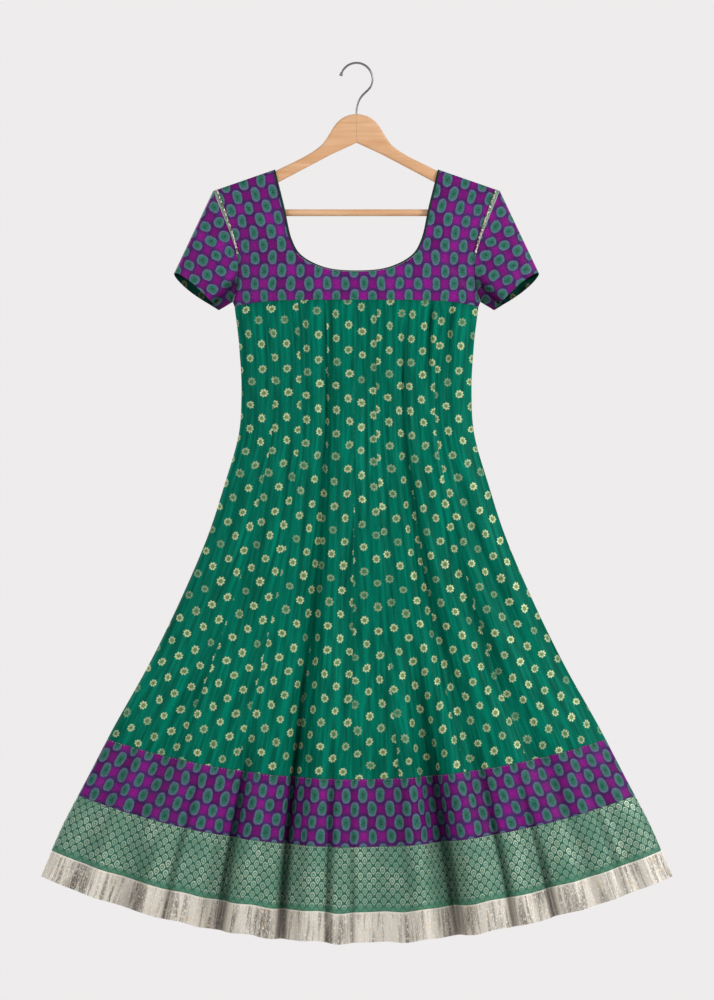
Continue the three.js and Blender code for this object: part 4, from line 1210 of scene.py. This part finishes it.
@dataclass
class Sleeves:
    """Short set-in sleeves, cut on the cross, with a flowered facing inside each cuff."""

    inner: tuple[float, float] = (220.0, -394.0)
    outer: tuple[float, float] = (292.0, -335.0)
    depth: float = 20.0
    slant: float = 0.06
    facing_from: float = 0.8
    facing_to: float = 0.996
    facing_gap: float = 0.9
    # How the cloth's cross and straight grain lie on the sleeve, which is stretched on the bias.
    grain: tuple[tuple[float, float], tuple[float, float]] = ((-0.421, 0.766), (1.101, 0.483))
    folds: tuple[tuple[float, float, float, float], ...] = (
        (0.2, 0.16, 0.06, 8.0), (0.08, 0.07, 0.04, 4.0), (0.5, 0.44, 0.08, 1.8), (0.76, 0.7, 0.08, 1.6))

    def points(self, face: Face, round_: np.ndarray, down: np.ndarray) -> np.ndarray:
        """Places on the outside of the left sleeve.

        Args:
            face: The front or the back.
            round_: From 0 at the underarm to 1 at the shoulder.
            down: From 0 at the armhole to 1 at the cuff.

        Returns:
            Points in millimetres.
        """
        round_, down = np.broadcast_arrays(round_, down)
        seam = ARMHOLE.at(round_)
        top = yoke_points(face, seam[..., 0], seam[..., 1], seam[..., 0])
        top[..., 0] += SEAM
        ends = (round_ <= 0) | (round_ >= 1)
        top[..., 1] = np.where(ends, 0, top[..., 1])
        bow = np.maximum(4 * round_ * (1 - round_), 0) ** 0.6
        cuff = np.stack([lerp(self.inner[0], self.outer[0], round_), face.way * self.depth * bow,
                         lerp(self.inner[1], self.outer[1], round_)], axis=-1)
        points = lerp(top, cuff, down[..., None])
        push = np.zeros(round_.shape)
        for start, end, wide, deep in self.folds:
            t = (round_ - lerp(start, end, down)) / wide
            push += deep * (1 - 0.7 * t * t) * np.exp(-0.6 * t * t)
        swell = smoothstep(down, 0, 0.35) * np.minimum(bow * 1.4, 1)
        points[..., 1] -= face.way * push * swell
        return points

    def fold_shade(self, round_: np.ndarray, down: np.ndarray) -> np.ndarray:
        """The painted shade on places of the sleeve, from 0 to 1: along its deepest fold and near the underarm."""
        start, end, wide, _ = self.folds[0]
        t = (round_ - lerp(start, end, down)) / wide
        return np.clip(0.7 * np.exp(-t * t) + 0.95 * (1 - smoothstep(round_, 0.04, 0.3)), 0, 1)

    def cuff_end(self, face: Face, round_: np.ndarray) -> np.ndarray:
        """How far down the sleeve ends: less in front than behind, so its inside shows."""
        return 1 + face.way * self.slant * np.sqrt(np.maximum(np.sin(np.pi * round_), 0))

    def patches(self, start: float, end: float, rows: int, inset: float) -> list[Patch]:
        """The two grids of a stretch of the left sleeve.

        Args:
            start: Where it starts, from 0 at the armhole.
            end: Where it ends, 1 at the cuff.
            rows: Its rows.
            inset: How far it lies inside the sleeve, in millimetres.

        Returns:
            The front patch and the back one.
        """
        made = []
        round_ = (1 - np.cos(np.linspace(0, np.pi, 49))) / 2
        for face in Face:
            down = np.linspace(start, end, rows + 1)[:, None] * self.cuff_end(face, round_)
            points = self.points(face, round_[None], down)
            middle = self.points(face, round_[None] * 0 + 0.5, down)
            middle[..., 1] = 0
            inwards = middle - points
            far = np.maximum(np.linalg.norm(inwards, axis=-1, keepdims=True), 1e-6)
            points = points + inwards / far * inset
            flat = unrolled(points, len(round_) // 2) @ np.array(self.grain).T
            made.append(Patch(points, flat, face is Face.BACK, self.fold_shade(round_[None], down)))
        return made

    def build(self) -> list[bpy.types.Object]:
        """Make and dress the sleeves and their facings."""
        made = []
        for side in Side:
            sleeve = self.patches(0, 1, 60, 0)
            facing = self.patches(self.facing_from, self.facing_to, 16, CLOTH + self.facing_gap)
            if side is Side.RIGHT:
                sleeve = [patch.mirrored() for patch in sleeve]
                facing = [patch.mirrored() for patch in facing]
            piece = cloth_piece(f"gown_sleeve_{side.value}", sleeve, CLOTH, weld=True)
            dress(piece, PURPLE, f"sleeve_{side.value}")
            inside = cloth_piece(f"gown_cuff_facing_{side.value}", facing, STRIP, weld=True)
            dress(inside, GREEN_SHADED_INSIDE, f"cuff_facing_{side.value}")
            for sewn, patches, holder in ((piece, sleeve, "gown_front_yoke"), (inside, facing, piece.name)):
                self.cut(patches)
            made += [piece, inside]
        return made

    def cut(self, patches: Sequence[Patch]) -> tuple[float, float]:
        """The length round a stretch of sleeve and its depth, in metres, at the middle."""
        rounds = sum(lengths(patch.points, 1)[patch.points.shape[0] // 2, -1] for patch in patches)
        down = lengths(patches[0].points, 0)[-1].mean()
        return round(float(rounds) * MM, 3), round(float(down) * MM, 3)


# ---------------------------------------------------------------- strips, cord and stitches


def path_piece(name: str, lines: Iterable[np.ndarray]) -> bpy.types.Object:
    """An object of bare edges along lines of points in millimetres."""
    places, edges = [], []
    for line in lines:
        start = len(places)
        places += (line * MM).tolist()
        edges += [(i, i + 1) for i in range(start, len(places) - 1)]
    mesh = bpy.data.meshes.new(name)
    mesh.from_pydata(places, edges, [])
    return new_object(name, mesh)


class Tool(Enum):
    """What makes the small repeated pieces along a path."""

    STITCHES = "stitches_along_a_seam"
    CORD = "twisted_cord"


def stitch_tree(wiring: Wiring, start: Any) -> Any:
    """A run of separate stitches: each a slim grain of thread along the path.

    Args:
        wiring: The tree.
        start: The tree's input node.

    Returns:
        The stitches.
    """
    curve = wiring.add("GeometryNodeMeshToCurve", (start.outputs["Path"],))
    curve = wiring.add("GeometryNodeResampleCurve", {"Curve": curve, "Length": start.outputs["Spacing"]}, mode="LENGTH")
    tangent = wiring.add("GeometryNodeInputTangent")
    turn = wiring.add("FunctionNodeAlignRotationToVector", {"Vector": tangent}, axis="X")
    grain = wiring.add("GeometryNodeMeshIcoSphere", {"Radius": 1.0, "Subdivisions": 1})
    luck = wiring.add("FunctionNodeRandomValue", {"Min": 0.75, "Max": 1.25, "Seed": 7}, out=1, data_type="FLOAT")
    long = wiring.add("ShaderNodeMath", (start.outputs["Length"], luck), operation="MULTIPLY")
    long = wiring.add("ShaderNodeMath", (long, 0.5), operation="MULTIPLY")
    thick = start.outputs["Thickness"]
    size = wiring.add("ShaderNodeCombineXYZ", (long, thick, thick))
    return wiring.add("GeometryNodeInstanceOnPoints", {
        "Points": curve, "Instance": grain, "Rotation": turn, "Scale": size})


def cord_tree(wiring: Wiring, start: Any) -> Any:
    """Two strands wound round each other along the path.

    Args:
        wiring: The tree.
        start: The tree's input node.

    Returns:
        The strands.
    """
    curve = wiring.add("GeometryNodeMeshToCurve", (start.outputs["Path"],))
    fine = wiring.add("ShaderNodeMath", (start.outputs["Spacing"], 10.0), operation="DIVIDE")
    curve = wiring.add("GeometryNodeResampleCurve", {"Curve": curve, "Length": fine}, mode="LENGTH")
    normal = wiring.add("GeometryNodeInputNormal")
    tangent = wiring.add("GeometryNodeInputTangent")
    side = wiring.add("ShaderNodeVectorMath", (tangent, normal), operation="CROSS_PRODUCT")
    run = wiring.add("GeometryNodeSplineParameter", out="Length")
    turns = wiring.add("ShaderNodeMath", (run, start.outputs["Spacing"]), operation="DIVIDE")
    profile = wiring.add("GeometryNodeCurvePrimitiveCircle", {"Resolution": 6, "Radius": start.outputs["Thickness"]})
    strands = wiring.add("GeometryNodeJoinGeometry")
    for phase in (0.0, math.pi):
        angle = wiring.add("ShaderNodeMath", (turns, 2 * math.pi, phase), operation="MULTIPLY_ADD")
        parts = [wiring.add("ShaderNodeMath", (angle,), operation=name) for name in ("COSINE", "SINE")]
        parts = [wiring.add("ShaderNodeMath", (part, start.outputs["Length"]), operation="MULTIPLY") for part in parts]
        one = wiring.add("ShaderNodeVectorMath", {0: normal, "Scale": parts[0]}, operation="SCALE")
        two = wiring.add("ShaderNodeVectorMath", {0: side, "Scale": parts[1]}, operation="SCALE")
        offset = wiring.add("ShaderNodeVectorMath", (one, two), operation="ADD")
        moved = wiring.add("GeometryNodeSetPosition", {"Geometry": curve, "Offset": offset})
        tube = wiring.add("GeometryNodeCurveToMesh", {"Curve": moved, "Profile Curve": profile, "Fill Caps": True})
        wiring.tree.links.new(tube, strands.node.inputs[0])
    return strands


@dataclass(frozen=True)
class Trimming:
    """What a run of stitches or a cord is made of.

    spacing, length and thickness are in millimetres. A stitch's are its distance from the
    next, its length and its radius; a cord's are the length of a turn, the distance of each
    strand from its middle and the strand's radius.
    """

    tool: Tool
    spacing: float
    length: float
    thickness: float

    def tree(self) -> bpy.types.NodeTree:
        """The tool's node group, built the first time it is asked for."""
        found = bpy.data.node_groups.get(self.tool.value)
        if found is not None:
            return found
        group = bpy.data.node_groups.new(self.tool.value, "GeometryNodeTree")
        face = group.interface
        face.new_socket("Path", in_out="INPUT", socket_type="NodeSocketGeometry")
        for name in ("Spacing", "Length", "Thickness"):
            face.new_socket(name, in_out="INPUT", socket_type="NodeSocketFloat")
        face.new_socket("Finish", in_out="INPUT", socket_type="NodeSocketMaterial")
        face.new_socket("Made", in_out="OUTPUT", socket_type="NodeSocketGeometry")
        wiring = Wiring(group)
        start = wiring.add("NodeGroupInput").node
        shape = (stitch_tree if self.tool is Tool.STITCHES else cord_tree)(wiring, start)
        shape = wiring.add("GeometryNodeSetShadeSmooth", (shape,))
        shape = wiring.add("GeometryNodeRealizeInstances", (shape,))
        shape = wiring.add("GeometryNodeSetMaterial", {"Geometry": shape, "Material": start.outputs["Finish"]})
        wiring.add("NodeGroupOutput", (shape,))
        return group

    def run(self, name: str, lines: Iterable[np.ndarray], finish: Finish) -> bpy.types.Object:
        """Make the trimming along lines.

        Args:
            name: The piece's name.
            lines: Lines of points in millimetres.
            finish: Its finish.

        Returns:
            The dressed piece.
        """
        piece = path_piece(name, lines)
        group = self.tree()
        modifier = piece.modifiers.new(self.tool.value, "NODES")
        modifier.node_group = group
        values = {"Spacing": self.spacing * MM, "Length": self.length * MM, "Thickness": self.thickness * MM,
                  "Finish": finish.material()}
        for item in group.interface.items_tree:
            if item.in_out == "INPUT" and item.name in values:
                modifier[item.identifier] = values[item.name]
        return dress(applied(piece), finish)


@dataclass
class Strips:
    """The neck binding, the armhole edgings with their cord, and the seams' stitches."""

    yoke: Yoke
    skirt: Skirt
    top_width: float = 3.8
    low_width: float = 1.8
    crown: float = 0.9  # how far a strip swells over its padding of turned cloth
    trim_end: float = 0.42
    cord: Trimming = Trimming(Tool.CORD, 15.0, 0.95, 0.8)
    running: Trimming = Trimming(Tool.STITCHES, 5.2, 2.4, 0.21)

    def binding_patch(self, face: Face) -> Patch:
        """The grid of the binding on the left half of a face."""
        steps = np.linspace(9, 0, 109)
        neck = np.interp(steps, range(10), ROW_NECK)
        arm = ARMHOLE.at(np.interp(steps, range(10), ROW_ARM))[:, 0]
        edge = NECKS[face].at(0.5 + neck / 2)
        tangent = NECKS[face].at(0.5 + neck / 2 + 1e-3) - NECKS[face].at(0.5 + neck / 2 - 1e-3)
        tangent /= np.linalg.norm(tangent, axis=1, keepdims=True)
        shoulder = np.subtract(NECK_POINT, SHOULDER_TIP)
        shoulder = shoulder / np.linalg.norm(shoulder)
        way = lerp(tangent[:, ::-1] * (-1, 1), shoulder[None], smoothstep(neck, 0.8, 1)[:, None])
        way /= np.linalg.norm(way, axis=1, keepdims=True)
        width = lerp(self.low_width, self.top_width, smoothstep(neck, 0.1, 0.6))
        part = np.linspace(1, 0, 7)
        off = (SEAM / 2 + part[None, :] * width[:, None])[..., None] * way[:, None]
        places = edge[:, None] + off
        points = yoke_points(face, places[..., 0], places[..., 1], arm[:, None])
        points[..., 1] += face.way * self.crown * (1 - (2 * part - 1) ** 2) ** 0.5
        points[0, :, 1] = 0
        points[-1, :, 0] = 0
        cloth = np.stack(np.broadcast_arrays(part * 5, lengths(points, 0)), axis=-1)
        return Patch(points, cloth, face is Face.BACK)

    def binding(self) -> bpy.types.Object:
        """The binding right round the neck."""
        patches = []
        for face in Face:
            left = self.binding_patch(face)
            patches += [left, left.mirrored()]
        return dress(cloth_piece("gown_neck_binding", patches, STRIP, weld=True), BINDING, "neck_binding")

    def trim_lines(self, face: Face) -> tuple[np.ndarray, np.ndarray]:
        """The inner and outer edges of the left armhole edging on one face, shoulder first."""
        count = 97
        share = np.linspace(1, self.trim_end, count)
        outer = ARMHOLE.at(share)
        before, after = ARMHOLE.at(np.clip(share - 1e-3, 0, 1)), ARMHOLE.at(np.clip(share + 1e-3, 0, 1))
        tangent = (after - before) / np.linalg.norm(after - before, axis=1, keepdims=True)
        way = tangent[:, ::-1] * (-1, 1)
        width = lerp(7.0, 1.2, np.linspace(0, 1, count))
        inner = outer + way * width[:, None]
        lines = [yoke_points(face, line[:, 0], line[:, 1], outer[:, 0]) for line in (inner, outer)]
        for line in lines:
            line[:, 1] += face.way * (STRIP + SEAM)
            line[0, 1] = 0
        return lines[0], lines[1]

    def edging(self, side: Side) -> list[bpy.types.Object]:
        """One armhole's satin edging and the cord along it."""
        patches, cords = [], []
        flip = 1 if side is Side.LEFT else -1
        for face in Face:
            inner, outer = self.trim_lines(face)
            part = np.linspace(0, 1, 6)[None, :, None]
            points = lerp(inner[:, None], outer[:, None], part)
            points[1:, :, 1] += face.way * 0.7 * (1 - (2 * part[..., 0] - 1) ** 2) ** 0.5
            cloth = np.stack(np.broadcast_arrays(part[..., 0] * 6, lengths(points, 0)), axis=-1)
            patch = Patch(points, cloth, face is Face.BACK)
            patches.append(patch if side is Side.LEFT else patch.mirrored())
            line = lerp(inner, outer, 0.15)[2:]
            line[:, 1] += face.way * 0.8
            cords.append(line * (flip, 1, 1))
        name = f"gown_armhole_edging_{side.value}"
        piece = dress(cloth_piece(name, patches, STRIP, weld=True), EDGING, f"armhole_trim_{side.value}")
        return [piece, self.cord.run(f"gown_armhole_cord_{side.value}", cords, THREAD)]

    def seam_stitches(self) -> list[bpy.types.Object]:
        """Stitches along the seams between the bands."""
        made = []
        for face in Face:
            across = np.linspace(-0.995, 0.995, 500)
            lines = []
            for z in (self.skirt.kali.bottom - 1.2, self.skirt.bands[0].bottom - 1.2):
                line = self.skirt.points(face, across, np.full(500, z))
                line[:, 1] += face.way * 0.15
                lines.append(line)
            made.append(self.running.run(f"gown_{face.value}_band_stitches", lines, THREAD))
        return made

    def build(self) -> list[bpy.types.Object]:
        """Make and dress every strip, cord and run of stitches."""
        made = [self.binding()]
        for side in Side:
            made += self.edging(side)
        return made + self.seam_stitches()


# ---------------------------------------------------------------- the hanger


def bezier(*points: tuple[float, float], steps: int = 16) -> list[tuple[float, float]]:
    """Points on a curve of two to four handles, without its start."""
    p = np.array(points, dtype=float)
    made = []
    for t in np.linspace(0, 1, steps + 1)[1:]:
        row = p
        while len(row) > 1:
            row = lerp(row[:-1], row[1:], t)
        made.append(tuple(row[0]))
    return made


@dataclass
class Hanger:
    """A two-armed wooden hanger with a trouser bar and a wire hook."""

    wood: float = 12.0
    edge: float = 4.0
    joint_edge: float = 0.15
    joint: float = 0.005  # each arm's end from the middle, where the two are glued
    bar_radius: float = 5.5
    bar_z: float = -238.0
    bar_half: float = 171.7
    wire: float = 1.75
    loop: float = 25.6
    ball: float = 3.2

    def arm_outline(self) -> list[tuple[float, float]]:
        """The left arm's outline: over the top, down to its foot and back underneath."""
        foot = self.bar_half + SEAM
        return [
            (self.joint, -80),
            *bezier((self.joint, -80), (40, -82), (40, -118), (60, -133)),
            *bezier((60, -133), (78, -148), (106, -159), (130, -171.5)),
            *bezier((130, -171.5), (214, -202), steps=6),
            *bezier((214, -202), (226, -207), (225, -222), (213, -226), steps=12),
            (206, -246),
            *bezier((206, -246), (203, -250), (198, -250), steps=5),
            (foot, -250), (foot, -216), (130, -192), (41, -145), (self.joint, -126),
        ]

    def arm(self, side: Side) -> bpy.types.Object:
        """One arm, with its edges rounded over."""
        flip = 1 if side is Side.LEFT else -1
        work = bmesh.new()
        outline = [(flip * x * MM, -self.wood / 2 * MM, z * MM) for x, z in self.arm_outline()]
        face = work.faces.new([work.verts.new(place) for place in outline])
        out = bmesh.ops.extrude_face_region(work, geom=[face])["geom"]
        moved = [item for item in out if isinstance(item, bmesh.types.BMVert)]
        bmesh.ops.translate(work, verts=moved, vec=(0, self.wood * MM, 0))
        bmesh.ops.recalc_face_normals(work, faces=work.faces)
        weight = work.edges.layers.float.new("bevel_weight_edge")
        for line in work.edges:
            a, b = (vert.co for vert in line.verts)
            level = abs(a.y - b.y) < 1e-6
            at_joint = abs(a.x) < 1 * MM and abs(b.x) < 1 * MM
            line[weight] = (self.joint_edge / self.edge if at_joint else 1.0) if level else 0.0
        name = f"coat_hanger_arm_{side.value}"
        mesh = bpy.data.meshes.new(name)
        work.to_mesh(mesh)
        work.free()
        piece = new_object(name, mesh)
        bevel = piece.modifiers.new("edge", "BEVEL")
        bevel.limit_method, bevel.width, bevel.segments = "WEIGHT", self.edge * MM, 5
        return dress(smoothed(applied(piece), 35), WOOD, f"hanger_arm_{side.value}")

    def rod(self, name: str, line: np.ndarray, radius: float, sides: int) -> bpy.types.Object:
        """A round rod along points in millimetres, closed at its ends."""
        curve = bpy.data.curves.new(name, "CURVE")
        curve.dimensions, curve.bevel_depth = "3D", radius * MM
        curve.bevel_resolution, curve.use_fill_caps = sides // 4 - 1, True
        spline = curve.splines.new("POLY")
        spline.points.add(len(line) - 1)
        for point, place in zip(spline.points, line * MM):
            point.co = (*place, 1)
        source = new_object(name + "_line", curve)
        depsgraph = bpy.context.evaluated_depsgraph_get()
        mesh = bpy.data.meshes.new_from_object(source.evaluated_get(depsgraph), depsgraph=depsgraph)
        mesh.name = name
        bpy.data.objects.remove(source)
        return smoothed(new_object(name, mesh), 40)

    def bar(self) -> bpy.types.Object:
        """The turned bar between the arms' feet."""
        line = np.array([(x, 0, self.bar_z) for x in np.linspace(-self.bar_half, self.bar_half, 40)])
        return dress(self.rod("coat_hanger_bar", line, self.bar_radius, 40), WOOD, "hanger_bar")

    def hook(self) -> bpy.types.Object:
        """The wire hook and the ball at its end."""
        middle = np.array([0, self.wire - self.loop])
        angles = np.radians(np.linspace(-48, 163, 90))
        arc = middle + self.loop * np.stack([np.cos(angles), np.sin(angles)], axis=-1)
        lead = bezier((0, -79.5), (0, -59), tuple(arc[0] + (-9.5, -8.5)), tuple(arc[0]), steps=40)
        flat = np.vstack([[(0, -79.5)], lead[:-1], arc])
        line = np.stack([flat[:, 0], np.zeros(len(flat)), flat[:, 1]], axis=-1)
        piece = self.rod("coat_hanger_hook", line, self.wire, 20)
        work = bmesh.new()
        work.from_mesh(piece.data)
        made = bmesh.ops.create_uvsphere(work, u_segments=24, v_segments=16, radius=self.ball * MM)
        bmesh.ops.translate(work, verts=made["verts"], vec=line[-1] * MM)
        for polygon in work.faces:
            polygon.smooth = True
        work.to_mesh(piece.data)
        work.free()
        return dress(piece, WIRE, "hanger_hook")

    def build(self) -> list[bpy.types.Object]:
        """Make and dress the hanger's pieces."""
        return [self.arm(Side.LEFT), self.arm(Side.RIGHT), self.bar(), self.hook()]


# ---------------------------------------------------------------- the studio


@dataclass
class Studio:
    """A pale floor well below the hem, soft lights and the camera."""

    view_height: float = 1.6  # metres of height that the camera sees at the gown
    lens: float = 250.0
    sensor: float = 36.0
    centre: tuple[float, float] = (0.0008, -0.6976)
    floor_z: float = -1.86
    floor_half: float = 1.6
    wall: float = 0.87  # brightness of the studio's walls to the eye
    glow: float = 0.42  # and as they light the gown
    # Each light: place, size and power.
    lights: tuple[tuple[tuple[float, float, float], float, float], ...] = (
        ((3.4, -2.4, 0.9), 1.6, 105.0), ((-2.6, -3.4, 0.3), 2.6, 45.0), ((-3.2, 2.6, 0.9), 1.8, 90.0),
        ((2.4, 3.2, -0.2), 2.4, 45.0))

    def camera(self) -> None:
        """A long lens straight in front of the gown."""
        data = bpy.data.cameras.new("view")
        data.lens, data.sensor_width, data.sensor_height = self.lens, self.sensor, self.sensor
        data.clip_end = 100
        camera = bpy.data.objects.new("view", data)
        away = self.view_height * self.lens / self.sensor
        camera.location = (self.centre[0], -away, self.centre[1])
        camera.rotation_euler = (math.pi / 2, 0, 0)
        bpy.context.scene.collection.objects.link(camera)
        bpy.context.scene.camera = camera

    def light(self) -> None:
        """Soft lights round the gown under a pale sky."""
        aim = np.array([0, 0, -0.7])
        for i, (place, size, power) in enumerate(self.lights):
            data = bpy.data.lights.new(f"soft_light_{i}", "AREA")
            data.shape, data.size, data.energy = "DISK", size, power
            lamp = bpy.data.objects.new(data.name, data)
            lamp.location = place
            x, y, z = aim - place
            lamp.rotation_euler = (math.atan2(math.hypot(x, y), -z), 0, math.atan2(y, x) - math.pi / 2)
            bpy.context.scene.collection.objects.link(lamp)
        world = bpy.data.worlds.new("studio")
        world.use_nodes = True
        wiring = Wiring(world.node_tree)
        seen = wiring.add("ShaderNodeLightPath", out="Is Camera Ray")
        glow = wiring.add("ShaderNodeMapRange", (seen, 0, 1, self.glow, self.wall))
        glow = wiring.add("ShaderNodeBackground", (hex_colour("fdfbfb"), glow))
        wiring.add("ShaderNodeOutputWorld", (glow,))
        bpy.context.scene.world = world

    def floor(self) -> None:
        """The plain pale floor."""
        h, z = self.floor_half, self.floor_z
        mesh = bpy.data.meshes.new("floor")
        mesh.from_pydata([(-h, -h, z), (h, -h, z), (h, h, z), (-h, h, z)], [], [(0, 1, 2, 3)])
        floor = new_object("floor", mesh)
        matt = bpy.data.materials.new("pale_paint")
        matt.use_nodes = True
        wiring = Wiring(matt.node_tree)
        place = wiring.add("ShaderNodeTexCoord", out="Object")
        cloud = wiring.add("ShaderNodeTexNoise", {"Vector": place, "Scale": 3.0})
        colour = wiring.add("ShaderNodeValToRGB", (cloud,), stops=ramp_stops((0.3, "efecea"), (0.7, "f3f0ee")))
        shader = wiring.add("ShaderNodeBsdfPrincipled", {"Base Color": colour, "Roughness": 0.9})
        wiring.add("ShaderNodeOutputMaterial", (shader,))
        mesh.materials.append(matt)

    def build(self) -> None:
        """Set up the camera, the lights and the floor."""
        bpy.context.scene.view_settings.view_transform = "Standard"
        self.camera()
        self.light()
        self.floor()


def main() -> None:
    """Build the hanger and the gown, and report each piece."""
    logging.basicConfig(level=logging.INFO, format="%(name)s %(message)s")
    Studio().build()
    Hanger().build()
    yoke, skirt = Yoke(), Skirt()
    faces = yoke.build()
    skirt.build()
    Sleeves().build()
    strips = Strips(yoke, skirt).build()
    yoke.declare(faces, strips)


if __name__ == "__main__":
    main()
